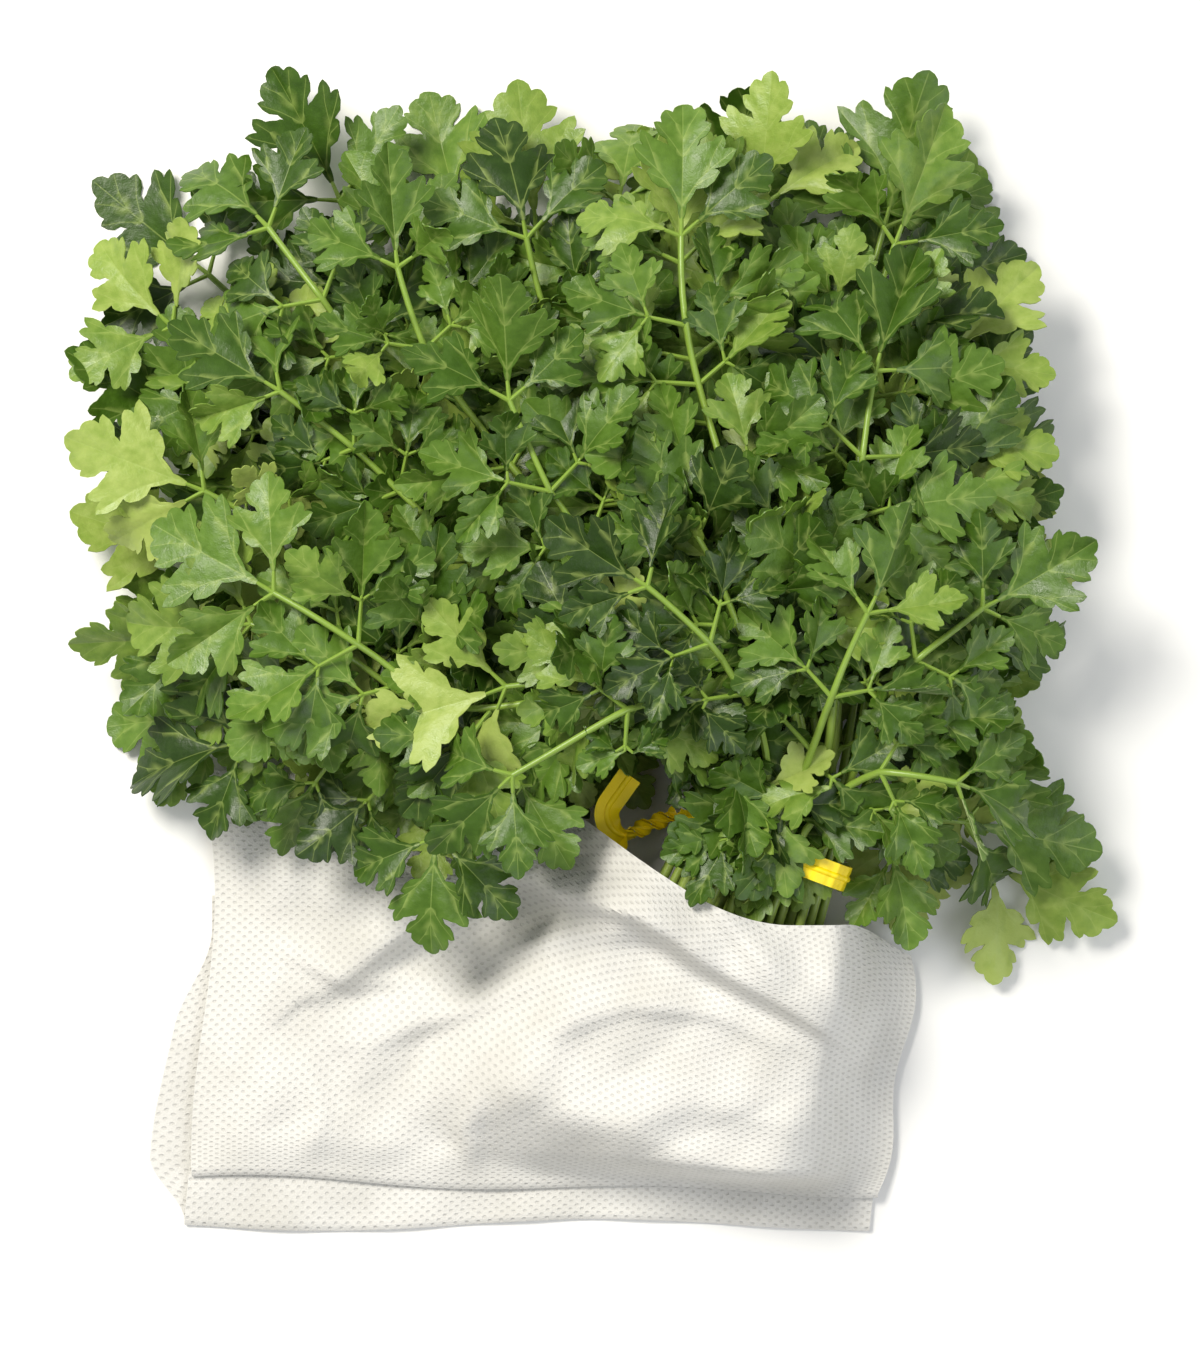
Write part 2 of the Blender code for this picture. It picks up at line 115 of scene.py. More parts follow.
def srgb(code: str) -> tuple[float, float, float, float]:
    """Turns an sRGB hex colour into the linear values that a socket holds.

    Args:
        code: six hex digits, with or without a leading #.

    Returns:
        Linear red, green and blue, and alpha 1.
    """
    digits = code.lstrip("#")
    values = []
    for i in (0, 2, 4):
        share = int(digits[i:i + 2], 16) / 255
        values.append(share / 12.92 if share <= 0.04045 else ((share + 0.055) / 1.055) ** 2.4)
    return (*values, 1.0)


def smooth(low: float, high: float, value: float | Point) -> Point:
    """0 below low, 1 above high, and an easy ramp between.

    Args:
        low: where the share is 0.
        high: where it is 1. It may lie below low, and the ramp then falls.
        value: one number or an array.

    Returns:
        The share, in the shape of the value.
    """
    share = np.clip((np.asarray(value, float) - low) / (high - low), 0.0, 1.0)
    return share * share * (3.0 - 2.0 * share)


def heading(angle: float) -> Point:
    """The level unit vector at an angle from +X."""
    return np.array([math.cos(angle), math.sin(angle)])


ALONG = heading(LEAN)
ACROSS = heading(LEAN + math.pi / 2)


class Slot(str, Enum):
    """The record's material slots."""

    LEAF = "parsley"
    TIE = "twist_tie"
    TOWEL = "paper_towel"


# --- Layout, by the rules of the solids ---------------------------------------------------------------
def lie(points: Sequence | Point) -> Point:
    """Lets flat, layered points sag into the heap, as the solids do.

    Args:
        points: (n, 3) places in the flat layers, or one place.

    Returns:
        (n, 3) places in the settled heap.
    """
    points = np.array(points, float).reshape(-1, 3)
    away = points[:, :2] - TIE_AT
    far = np.linalg.norm(away, axis=1)
    in_wrap = np.exp(-((away @ ACROSS / 46.0) ** 4)) * smooth(14.0, -14.0, away @ ALONG)
    loose = smooth(26.0, 84.0, far) * (1.0 - in_wrap)
    x, y, z = points.T
    edge = np.clip(((x - HEAP_AT[0]) / 128.0) ** 2 + ((y - HEAP_AT[1]) / 106.0) ** 2, 0.0, 1.3)
    high = 1.0 - 0.34 * edge * loose
    wave = np.sin(x / 13.5 + z / 17.0 + 0.6) * np.cos(y / 15.5 - z / 21.0)
    swell = np.sin(x / 31.0 - y / 24.0 + 1.0)
    lift = 1.0 - np.exp(-z / 16.0)
    out = points.copy()
    out[:, 2] = z * high + loose * lift * (3.6 * wave + 2.6 * swell)
    out[:, 0] = x + loose * 3.4 * np.sin(y / 19.0 + 0.5)
    out[:, 1] = y + loose * 3.0 * np.sin(x / 21.0 - 0.8)
    return out


def stem_height(row: int, distance: float) -> float:
    """Height of a row's stems.

    Args:
        row: 0 for the row on the table.
        distance: along the bunch from the tie, negative in the towel.

    Returns:
        The height of their centres.
    """
    at_tie = ROW_AT_TIE + PITCH_AT_TIE * row
    if distance <= 0:
        at_ends = ROW_AT_ENDS + PITCH_AT_ENDS * row
        return at_tie + (at_ends - at_tie) * float(smooth(0.0, TAIL, -distance))
    in_leaves = ROW_IN_LEAVES + PITCH_IN_LEAVES * row
    return at_tie + (in_leaves - at_tie) * float(smooth(SPREAD_FROM, SPREAD_TO, distance))


def stem_point(slot: float, angle: float, distance: float) -> Point:
    """Plan position along one stem.

    Args:
        slot: the stem's place across the tie.
        angle: how far it turns from the way the bunch leans.
        distance: along the bunch from the tie, negative in the towel.

    Returns:
        Its (x, y).
    """
    if distance <= 0:
        apart = 1.0 + (ENDS_SPREAD - 1.0) * (-distance / TAIL)
        return TIE_AT + ACROSS * slot * apart + ALONG * distance
    turned = angle * float(smooth(-14.0, FAN_REACH, distance))
    fade = 1.0 - 0.75 * float(smooth(0.0, 90.0, distance))
    return TIE_AT + ACROSS * slot * fade + heading(LEAN + turned) * distance


@dataclass
class SprigPlan:
    """Where one sprig grows: its row, its place in the tie and the way its stem takes."""

    number: int
    row: int
    slot: float
    angle: float
    distance: float
    turn: float
    size: float

    @property
    def node(self) -> str:
        """Name of the frame's node."""
        return f"sprig_{self.number:02d}"

    @property
    def rise(self) -> float:
        """How far its leaves stand above their row."""
        return LEAF_RISES[self.number % 2]


@dataclass
class Bunch:
    """Works out every sprig's plan from the rows of upper forks."""

    rows: Sequence
    rounds: int = 60  # of pushing apart

    def parted(self, hubs: Sequence) -> list[Point]:
        """The upper forks of one row, pushed apart until each sprig's leaves have room.

        Args:
            hubs: the row's entries, which start with x and y.

        Returns:
            One (x, y) for each.
        """
        places = [np.array(hub[:2], float) for hub in hubs]
        for _ in range(self.rounds):
            for i, one in enumerate(places):
                for other in places[i + 1:]:
                    gap = other - one
                    short = FAN_SIZE - np.linalg.norm(gap)
                    if short > 0:
                        push = gap / np.linalg.norm(gap) * short * 0.5
                        one -= push
                        other += push
            for place in places:
                out = (place - HEAP_AT) / HEAP_REACH
                past = max(float(np.sum(out ** 4)) ** 0.25, 1.0)
                if place[1] > HEAP_LOW:
                    place[:] = HEAP_AT + (place - HEAP_AT) / past
        return places

    def plans(self) -> Iterable[SprigPlan]:
        """Every sprig's plan, in the order of the frame's nodes.

        Returns:
            The plans, one after another.
        """
        number = 0
        for row, hubs in enumerate(self.rows):
            placed = []
            for hub, at in zip(hubs, self.parted(hubs)):
                away = at - TIE_AT
                angle = (math.atan2(away[1], away[0]) - LEAN + math.pi) % (2 * math.pi) - math.pi
                placed.append([angle, float(np.linalg.norm(away)), hub[2], hub[3]])
            placed.sort()
            for before, after in zip(placed, placed[1:]):
                sideways = float(smooth(math.radians(55.0), math.radians(92.0), abs(before[0])))
                after[0] = max(after[0], before[0] + LEAST_ANGLE * (1.0 + 0.75 * sideways))
            middle = (len(placed) - 1) / 2
            for i, (angle, distance, turn, size) in enumerate(placed):
                number += 1
                yield SprigPlan(number, row, (i - middle) * SLOT, angle, distance, turn, size)


# --- Meshes -------------------------------------------------------------------------------------------
POINT_VALUES = ("vein", "tone", "along")  # what the materials read at each point


@dataclass
class MeshDraft:
    """Collects the parts of one piece, then makes its mesh."""

    name: str
    points: list = field(default_factory=list)
    faces: list = field(default_factory=list)
    finishes: list = field(default_factory=list)
    values: dict = field(default_factory=dict)
    count: int = 0

    def add(self, points: Point, faces: Point, finish: int | Point, **values: float | Point) -> None:
        """Adds a closed part.

        Args:
            points: (n, 3) positions in millimetres.
            faces: (m, 3) corners of its triangles.
            finish: material index of every triangle, or one for all.
            values: per-point numbers that the materials read.
        """
        self.points.append(points)
        self.faces.append(np.asarray(faces) + self.count)
        self.finishes.append(np.broadcast_to(np.asarray(finish), len(faces)))
        for key in POINT_VALUES:
            self.values.setdefault(key, []).append(
                np.broadcast_to(np.asarray(values.get(key, 0.0), float), len(points)))
        self.count += len(points)

    def build(self, materials: Sequence, sharp: float = 50.0) -> Object:
        """Makes the object, smooth except at edges sharper than the given angle.

        Args:
            materials: the ones that the triangles' numbers stand for.
            sharp: the angle, in degrees.

        Returns:
            The object, linked to the scene.
        """
        points = (np.concatenate(self.points) - MIDDLE) * MM
        faces = np.concatenate(self.faces)
        mesh = bpy.data.meshes.new(self.name)
        mesh.vertices.add(len(points))
        mesh.vertices.foreach_set("co", points.astype(np.float32).ravel())
        mesh.loops.add(len(faces) * 3)
        mesh.loops.foreach_set("vertex_index", faces.astype(np.int32).ravel())
        mesh.polygons.add(len(faces))
        mesh.polygons.foreach_set("loop_start", np.arange(0, len(faces) * 3, 3, dtype=np.int32))
        mesh.polygons.foreach_set("loop_total", np.full(len(faces), 3, np.int32))
        mesh.polygons.foreach_set("material_index", np.concatenate(self.finishes).astype(np.int32))
        for key, parts in self.values.items():
            attribute = mesh.attributes.new(key, "FLOAT", "POINT")
            attribute.data.foreach_set("value", np.concatenate(parts).astype(np.float32))
        for material in materials:
            mesh.materials.append(material)
        mesh.update(calc_edges=True)
        mesh.shade_smooth()
        mesh.set_sharp_from_angle(angle=math.radians(sharp))
        obj = bpy.data.objects.new(self.name, mesh)
        bpy.context.scene.collection.objects.link(obj)
        return obj


def rounded_course(points: Point, step: float) -> Point:
    """A smooth curve through the given points, with a point about every step.

    Args:
        points: (n, 3) places that it passes.
        step: distance between its own points.

    Returns:
        (m, 3) points, the last of the given ones included.
    """
    ends = np.vstack([2 * points[0] - points[1], points, 2 * points[-1] - points[-2]])
    out = []
    for i in range(len(points) - 1):
        a, b, c, d = ends[i:i + 4]
        count = max(int(np.linalg.norm(c - b) / step), 1)
        for t in np.arange(count) / count:
            out.append(0.5 * (2 * b + (c - a) * t + (2 * a - 5 * b + 4 * c - d) * t ** 2
                              + (3 * b - a - 3 * c + d) * t ** 3))
    out.append(points[-1])
    return np.array(out)


def tube(course: Point, radii: Point, sides: int, rib: float = 0.07) -> tuple[Point, Point]:
    """A closed tube along a course, with ribs that run along it.

    Args:
        course: (n, 3) centreline.
        radii: (n,) radius at each point.
        sides: corners around the tube.
        rib: how much every second corner is drawn in, as a share of the radius.

    Returns:
        Its points and triangles.
    """
    ahead = np.gradient(course, axis=0)
    ahead /= np.linalg.norm(ahead, axis=1)[:, None]
    up = np.array([0.0, 0.0, 1.0])
    side = np.cross(up, ahead)
    side /= np.linalg.norm(side, axis=1)[:, None] + 1e-9
    over = np.cross(ahead, side)
    turn = 2 * math.pi * np.arange(sides) / sides
    swell = 1.0 - rib * (np.arange(sides) % 2)
    ring = (side[:, None] * (np.cos(turn) * swell)[None, :, None]
            + over[:, None] * (np.sin(turn) * swell)[None, :, None])
    points = course[:, None] + ring * radii[:, None, None]
    count = len(course)
    flat = points.reshape(-1, 3)
    i, j = np.meshgrid(np.arange(count - 1), np.arange(sides), indexing="ij")
    a = i * sides + j
    b = i * sides + (j + 1) % sides
    faces = np.concatenate([np.stack([a, b, b + sides], -1).reshape(-1, 3),
                            np.stack([a, b + sides, a + sides], -1).reshape(-1, 3)])
    caps = []
    start, end = len(flat), len(flat) + 1
    last = (count - 1) * sides
    for k in range(sides):
        caps.append((start, (k + 1) % sides, k))
        caps.append((end, last + k, last + (k + 1) % sides))
    flat = np.vstack([flat, course[0] - ahead[0] * 0.1, course[-1] + ahead[-1] * radii[-1] * 0.6])
    return flat, np.vstack([faces, caps])


def open_edges(faces: Point) -> Point:
    """The edges that only one triangle has.

    Args:
        faces: (m, 3) corners of the triangles.

    Returns:
        (n, 2) ends of the edges, in the way that their triangles run.
    """
    ends = np.concatenate([faces[:, [0, 1]], faces[:, [1, 2]], faces[:, [2, 0]]])
    known = {tuple(e) for e in ends}
    return np.array([e for e in ends if (e[1], e[0]) not in known])


def thin_body(faces: Point, rim: Point, count: int) -> Point:
    """Closes a thin body whose back has the same points as its face, count further on.

    Args:
        faces: (m, 3) triangles of the face.
        rim: (n, 2) its open edges.
        count: number of points of the face.

    Returns:
        Triangles of the face, the back and the rim, in that order.
    """
    walls = np.vstack([np.column_stack([rim[:, 0] + count, rim[:, 1] + count, rim[:, 1]]),
                       np.column_stack([rim[:, 0] + count, rim[:, 1], rim[:, 0]])])
    return np.vstack([faces, faces[:, ::-1] + count, walls])


# --- Leaflets -----------------------------------------------------------------------------------------
# Half of a leaflet's margin from its stalk to its tip: share of the length forward and to the side.
# T is the tip of a tooth, N the notch between two teeth, S a smooth stretch.
MARGIN = (
    ("S", 0.00, 0.020), ("S", 0.12, 0.045), ("S", 0.24, 0.135), ("T", 0.36, 0.345), ("N", 0.405, 0.315),
    ("T", 0.56, 0.52), ("N", 0.565, 0.405), ("T", 0.66, 0.405), ("N", 0.625, 0.295), ("S", 0.60, 0.20),
    ("N", 0.585, 0.135), ("S", 0.64, 0.165), ("T", 0.78, 0.285), ("N", 0.785, 0.215), ("T", 0.905, 0.175),
    ("N", 0.91, 0.105),
)
# Veins: the main vein of a side lobe, then those to the teeth, each as shares of the length.
SIDE_VEIN = ((0.10, 0.0), (0.33, 0.18), (0.535, 0.475))
TOOTH_VEINS = (
    ((0.25, 0.105), (0.350, 0.305)), ((0.38, 0.24), (0.635, 0.375)),
    ((0.50, 0.0), (0.755, 0.255)), ((0.66, 0.0), (0.885, 0.150)),
)
MIDRIB_HALF, SIDE_HALF, TOOTH_HALF = 0.27, 0.22, 0.17
VEIN_RIB = 0.16  # how far a vein stands out of the underside


@dataclass
class LeafPattern:
    """One flat leaflet, drawn at a fixed length and cut into triangles along its margin and veins."""

    seed: int
    points: Point = field(init=False)
    faces: Point = field(init=False)
    rim: Point = field(init=False)
    vein: Point = field(init=False)  # 1 in the middle of a vein, 0 beside it
    main: Point = field(init=False)  # distance to the nearest main vein
    gap: Point = field(init=False)  # distance to the nearest vein

    def __post_init__(self) -> None:
        """Draws the margin and the veins, and cuts them into triangles."""
        rng = random.Random(1000 + self.seed)
        wide = rng.uniform(0.80, 0.98)
        deep = rng.uniform(0.75, 1.25)
        margin = self._half(rng, wide, deep, 1) + [(LEAF_BUILD, 0.0)] + self._half(rng, wide, deep, -1)[::-1]
        outline = np.array(margin)[::-1]
        veins = self._veins(rng, wide)
        self._cut(rng, outline, veins)

    def _half(self, rng: random.Random, wide: float, deep: float, way: int) -> list:
        """One side of the margin, with rounded teeth.

        Args:
            rng: the pattern's own chance.
            wide: breadth against the usual leaflet.
            deep: depth of the notches against the usual ones.
            way: 1 for the left side, -1 for the right.

        Returns:
            (x, y) places from the stalk to the last tooth.
        """
        keys = []
        for kind, t, s in MARGIN:
            if kind == "T":
                t += rng.uniform(-0.022, 0.022)
                s *= rng.uniform(0.93, 1.07)
            if kind == "N":
                s *= 1.0 - 0.10 * (deep - 1.0)
                t -= 0.02 * (deep - 1.0)
            keys.append((kind, np.array([t, s * wide]) * LEAF_BUILD))
        keys.append(("T", np.array([1.0, 0.0]) * LEAF_BUILD))
        out = []
        for (kind, a), (after, b) in zip(keys, keys[1:]):
            out.append(tuple(a * (1, way)))
            run = b - a
            normal = np.array([-run[1], run[0]])
            bulge = {"T": 0.17, "N": 0.12}.get(after, 0.04)
            pieces = 3 if np.linalg.norm(run) > 1.6 else 2
            for k in range(1, pieces):
                share = k / pieces
                place = a + run * share + normal * bulge * 4 * share * (1 - share) * (1.15 - 0.3 * share)
                out.append(tuple(place * (1, way)))
        return out

    def _veins(self, rng: random.Random, wide: float) -> list:
        """The veins of the leaflet.

        Args:
            rng: the pattern's own chance.
            wide: breadth against the usual leaflet.

        Returns:
            For each vein its (n, 2) course, its (n,) half widths and whether it is a main one.
        """
        veins = [(np.array([(0.0, 0.0), (0.5, 0.0), (0.965, 0.0)]) * LEAF_BUILD, MIDRIB_HALF, True)]
        for way in (1, -1):
            shape = np.array([1.0, way * wide])
            veins.append((np.array(SIDE_VEIN) * shape * LEAF_BUILD, SIDE_HALF, True))
            for start, end in TOOTH_VEINS:
                a, b = np.array(start) * shape, np.array(end) * shape
                bend = (a + b) / 2 + np.array([rng.uniform(0.008, 0.03), 0.0])
                veins.append((np.array([a, bend, b]) * LEAF_BUILD, TOOTH_HALF, False))
        out = []
        for line, half, main in veins:
            course = rounded_course(np.column_stack([line, np.zeros(len(line))]), 2.0)[:, :2]
            taper = half * (1.0 - 0.40 * np.linspace(0.0, 1.0, len(course)))
            out.append((course, taper, main))
        return out

    @staticmethod
    def _distance(points: Point, veins: list) -> Point:
        """Finds the vein nearest to each point.

        Args:
            points: (n, 2) places.
            veins: the veins to look among.

        Returns:
            (n, 2), the distance to the nearest vein and that vein's half width.
        """
        best = np.full(len(points), 1e9)
        half = np.ones(len(points))
        for course, taper, _ in veins:
            for a, b, w in zip(course, course[1:], taper):
                run = b - a
                share = np.clip(((points - a) @ run) / (run @ run), 0.0, 1.0)
                away = np.linalg.norm(points - a - share[:, None] * run, axis=1)
                closer = away < best
                best[closer] = away[closer]
                half[closer] = w
        return np.column_stack([best, half])

    def _cut(self, rng: random.Random, outline: Point, veins: list) -> None:
        """Fills the margin with triangles that follow the veins.

        Args:
            rng: the pattern's own chance.
            outline: (n, 2) margin, anticlockwise.
            veins: what _veins gives.
        """
        points = [tuple(p) for p in outline]
        edges = []
        for course, taper, _ in veins:
            ahead = np.gradient(course, axis=0)
            ahead /= np.linalg.norm(ahead, axis=1)[:, None]
            side = np.column_stack([-ahead[:, 1], ahead[:, 0]])
            for shift in (0.0, 1.0, -1.0):
                line = (course + side * (taper * shift)[:, None])[1 if shift else 0:]
                first = len(points)
                points += [tuple(p) for p in line]
                edges += [(first + i, first + i + 1) for i in range(len(line) - 1)]
        rows = int(LEAF_BUILD / LEAF_MESH) + 2
        inner = []
        for i in range(rows):
            for j in range(-rows, rows):
                x = i * LEAF_MESH + rng.uniform(-0.2, 0.2)
                y = (j + 0.5 * (i % 2)) * LEAF_MESH * 1.1 + rng.uniform(-0.2, 0.2)
                inner.append((x, y))
        inner = np.array(inner)
        far = self._distance(inner, veins)
        rim = self._rim_distance(inner, outline)
        keep = (far[:, 0] > far[:, 1] + 0.45) & (rim > 0.55) & self._inside(inner, outline)
        points += [tuple(p) for p in inner[keep]]
        made = delaunay_2d_cdt([Vector(p) for p in points], edges, [list(range(len(outline)))], 1, 1e-4)
        self.points = np.array([tuple(v) for v in made[0]])
        faces = np.array([f for f in made[2] if len(f) == 3])
        a, b, c = (self.points[faces[:, k]] for k in range(3))
        area = (b - a)[:, 0] * (c - a)[:, 1] - (b - a)[:, 1] * (c - a)[:, 0]
        faces[area < 0] = faces[area < 0][:, ::-1]
        self.faces = faces
        self.rim = open_edges(faces)
        near = self._distance(self.points, veins)
        self.gap = near[:, 0]
        self.vein = np.clip(1.0 - near[:, 0] / near[:, 1], 0.0, 1.0)
        self.main = self._distance(self.points, [v for v in veins if v[2]])[:, 0]

    @staticmethod
    def _rim_distance(points: Point, outline: Point) -> Point:
        """Distance from each point to the margin.

        Args:
            points: (n, 2) places.
            outline: the margin.

        Returns:
            (n,) distances.
        """
        best = np.full(len(points), 1e9)
        for a, b in zip(outline, np.roll(outline, -1, axis=0)):
            run = b - a
            share = np.clip(((points - a) @ run) / max(run @ run, 1e-9), 0.0, 1.0)
            best = np.minimum(best, np.linalg.norm(points - a - share[:, None] * run, axis=1))
        return best

    @staticmethod
    def _inside(points: Point, outline: Point) -> Point:
        """Which points lie inside the margin.

        Args:
            points: (n, 2) places.
            outline: the margin.

        Returns:
            (n,) booleans.
        """
        hit = np.zeros(len(points), bool)
        for a, b in zip(outline, np.roll(outline, -1, axis=0)):
            crosses = (a[1] > points[:, 1]) != (b[1] > points[:, 1])
            if a[1] != b[1]:
                at = a[0] + (points[:, 1] - a[1]) * (b[0] - a[0]) / (b[1] - a[1])
                hit ^= crosses & (points[:, 0] < at)
        return hit


@dataclass
class LeafShape:
    """How one leaflet is bent."""

    fold: float  # angle of each half to the level, positive is a V
    channel: float  # slope beside each main vein
    bend: float  # how far the tip turns down, in radians
    cup: float  # how far the sides turn down, as a share of the length
    ruffle: float  # height of the margin's waves, in millimetres
    phase: float  # where those waves start
    twist: float  # how far the tip rolls over, in radians

    @classmethod
    def drawn(cls, rng: random.Random) -> "LeafShape":
        """A leaflet's own shape, from seeded chance.

        Args:
            rng: the sprig's own chance.

        Returns:
            The shape.
        """
        return cls(
            fold=math.radians(rng.gauss(9.0, 11.0)),
            channel=rng.uniform(0.02, 0.12),
            bend=rng.gauss(0.30, 0.42),
            cup=rng.uniform(-0.10, 0.38),
            ruffle=rng.uniform(0.4, 1.5),
            phase=rng.uniform(0.0, 6.28),
            twist=rng.gauss(0.0, 0.20),
        )


@dataclass
class Leaflet:
    """One leaflet in place: pattern, size, shape and attitude."""

    pattern: LeafPattern
    root: Point
    length: float
    yaw: float
    pitch: float
    roll: float
    shape: LeafShape
    tone: float

    def surface(self) -> Point:
        """Points of the leaflet's middle surface, in place.

        Returns:
            (n, 3) positions.
        """
        flat = self.pattern.points
        scale = self.length / LEAF_BUILD
        x, y = flat[:, 0] * scale, flat[:, 1] * scale
        size = self.length
        reach = np.hypot(x - 0.35 * size, y) / (0.5 * size)
        z = 0.24 * scale * (1.0 - np.exp(-((self.pattern.gap / 1.7) ** 2)))
        z += self.shape.channel * scale * np.minimum(self.pattern.main, 3.0)
        z += np.abs(y) * math.sin(self.shape.fold)
        z -= self.shape.cup * y * y / size
        wave = np.sin(5.0 * np.arctan2(y, x - 0.3 * size) + self.shape.phase)
        z += self.shape.ruffle * reach ** 2 * wave
        y = y * math.cos(self.shape.fold)
        turn = self.shape.twist * x / size
        y, z = y * np.cos(turn) - z * np.sin(turn), y * np.sin(turn) + z * np.cos(turn)
        curve = -self.shape.bend / size
        if abs(curve) > 1e-5:
            angle = curve * x
            x, z = np.sin(angle) / curve - z * np.sin(angle), (1 - np.cos(angle)) / curve + z * np.cos(angle)
        return np.column_stack([x, y, z]) @ self._frame().T + self.root

    def _frame(self) -> Point:
        """Attitude of the leaflet.

        Returns:
            The matrix that turns the leaflet into the room.
        """
        cy, sy = math.cos(self.yaw), math.sin(self.yaw)
        cp, sp = math.cos(self.pitch), math.sin(self.pitch)
        cr, sr = math.cos(self.roll), math.sin(self.roll)
        yaw = np.array([[cy, -sy, 0], [sy, cy, 0], [0, 0, 1]])
        pitch = np.array([[cp, 0, -sp], [0, 1, 0], [sp, 0, cp]])
        roll = np.array([[1, 0, 0], [0, cr, -sr], [0, sr, cr]])
        return yaw @ pitch @ roll

    def grow(self, draft: MeshDraft) -> None:
        """Adds the leaflet, with its upper face, its underside and the rim between them.

        Args:
            draft: the sprig's mesh.
        """
        middle = self.surface()
        faces = self.pattern.faces
        normals = np.zeros_like(middle)
        a, b, c = (middle[faces[:, k]] for k in range(3))
        across = np.cross(b - a, c - a)
        for k in range(3):
            np.add.at(normals, faces[:, k], across)
        normals /= np.linalg.norm(normals, axis=1)[:, None] + 1e-12
        half = LEAF_GAUGE / 2
        rib = self.pattern.vein * VEIN_RIB
        points = np.vstack([middle + normals * half, middle - normals * (half + rib)[:, None]])
        body = thin_body(faces, self.pattern.rim, len(middle))
        finish = np.zeros(len(body))
        finish[len(faces):2 * len(faces)] = 1.0  # the underside
        draft.add(points, body, finish, vein=np.tile(self.pattern.vein, 2), tone=self.tone, along=0.5)


# --- Sprigs -------------------------------------------------------------------------------------------
TUBE_SIDES, STALK_SIDES = 10, 8


@dataclass
class Sprig:
    """Grows one sprig: its ribbed stem, its two forks with nine leaflets, and its side branches."""

    plan: SprigPlan
    patterns: Sequence[LeafPattern]
    layout: random.Random  # the chance that all sprigs share with their solids
    branch_every: tuple = (19.0, 25.0)
    branch_reach: tuple = (8.0, 13.0)
    branch_leaf: tuple = (23.0, 29.0)
    branch_swing: tuple = (48.0, 74.0)  # degrees from the stem's own way
    branch_rise: tuple = (1.0, 4.0)
    back_swing: tuple = (112.0, 160.0)  # the same for a branch that leans back over the tie
    back_rise: tuple = (5.0, 8.0)
    light_share: float = 0.22  # sprigs that are light throughout
    table_band: float = 1.2  # what hangs below this height is pressed up into it
    lowest: float = 0.25

    def __post_init__(self) -> None:
        """Draws the sprig's own shade of green."""
        plan = self.plan
        self.rng = random.Random(SEED * 100 + plan.number)
        self.tone = min(max(self.rng.gauss(0.40, 0.22), 0.0), 1.0)
        if self.rng.random() < self.light_share:
            self.tone = self.rng.uniform(0.72, 1.0)

    def grow(self, materials: Sequence) -> Object:
        """Makes the sprig's piece.

        Args:
            materials: upper face, underside and stem.

        Returns:
            The finished object.
        """
        plan = self.plan
        draft = MeshDraft(plan.node + "_grown")
        lower = plan.distance - FORK_GAP * plan.size
        cut = self.layout.uniform(-3.0, 5.0)
        stops = [-TAIL + cut, -40.0, -5.0, 8.0, 20.0, 32.0, 45.0, 64.0, 84.0, 110.0, 145.0]
        stops = [s for s in stops if s < lower - 9.0] + [lower - 4.0]
        places = []
        for s in stops:
            rise = plan.rise * 0.5 * float(smooth(lower - 16.0, lower, s))
            places.append([*stem_point(plan.slot, plan.angle, s), stem_height(plan.row, s) + rise])
        fork_low = stem_point(plan.slot, plan.angle, lower)
        ahead = stem_point(plan.slot, plan.angle, plan.distance) - fork_low
        direction = math.atan2(ahead[1], ahead[0]) + math.radians(plan.turn) * 0.5
        fork_high = fork_low + heading(direction) * np.linalg.norm(ahead)
        low = np.array([*fork_low, stem_height(plan.row, lower) + plan.rise])
        high = np.array([*fork_high, stem_height(plan.row, plan.distance) + plan.rise])
        self._stem(draft, np.array(places + [low, high]))
        self._branches(draft, lower)
        self._leaves(draft, low, direction, LOWER_LEAFLETS, split=True)
        onward = direction + math.radians(plan.turn) * 0.5
        self._leaves(draft, high, onward, UPPER_LEAFLETS, split=False)
        self._keep_above_table(draft)
        piece = draft.build(materials)
        log.info("%s: %d points", piece.name, draft.count)
        return piece

    def _branches(self, draft: MeshDraft, lower: float) -> None:
        """Side branches below the lower fork, with three leaflets each, that close the heap.

        Args:
            draft: the sprig's mesh.
            lower: distance of the lower fork from the tie.
        """
        plan = self.plan
        first = BRANCH_FROM[0] if plan.row < UPPER_ROWS else BRANCH_FROM[1]
        stop = lower - 17.0 * plan.size
        way = self.rng.choice((-1, 1))
        while stop > first:
            at = np.array([*stem_point(plan.slot, plan.angle, stop), stem_height(plan.row, stop)])
            ahead = stem_point(plan.slot, plan.angle, stop + 3.0) - at[:2]
            course = math.atan2(ahead[1], ahead[0])
            rise = plan.rise * 0.5 * float(smooth(lower - 16.0, lower, stop))
            at[2] += rise
            pair = plan.row < UPPER_ROWS or self.rng.random() < 0.6
            for side in (way, -way)[:2 if pair else 1]:
                over_tie = stop < OVER_TIE and plan.row >= len(ROWS) - 3
                if over_tie and self.rng.random() < 0.35:
                    continue
                swing = self.rng.uniform(*(self.back_swing if over_tie else self.branch_swing))
                angle = course + side * math.radians(swing)
                reach = self.rng.uniform(*self.branch_reach) * plan.size
                up = self.rng.uniform(*(self.back_rise if over_tie else self.branch_rise))
                start = at + [*(heading(angle) * reach), up]
                root, tip = lie([start, start + [*(heading(angle) * 12.0), 0.6]])
                self._stalk(draft, lie(at)[0], root, STALK * 0.46)
                run = tip - root
                self._three(draft, root, self.rng.uniform(*self.branch_leaf) * plan.size,
                            math.atan2(run[1], run[0]), math.atan2(run[2], math.hypot(run[0], run[1])), 0.0)
            stop -= self.rng.uniform(*self.branch_every)
            way = -way

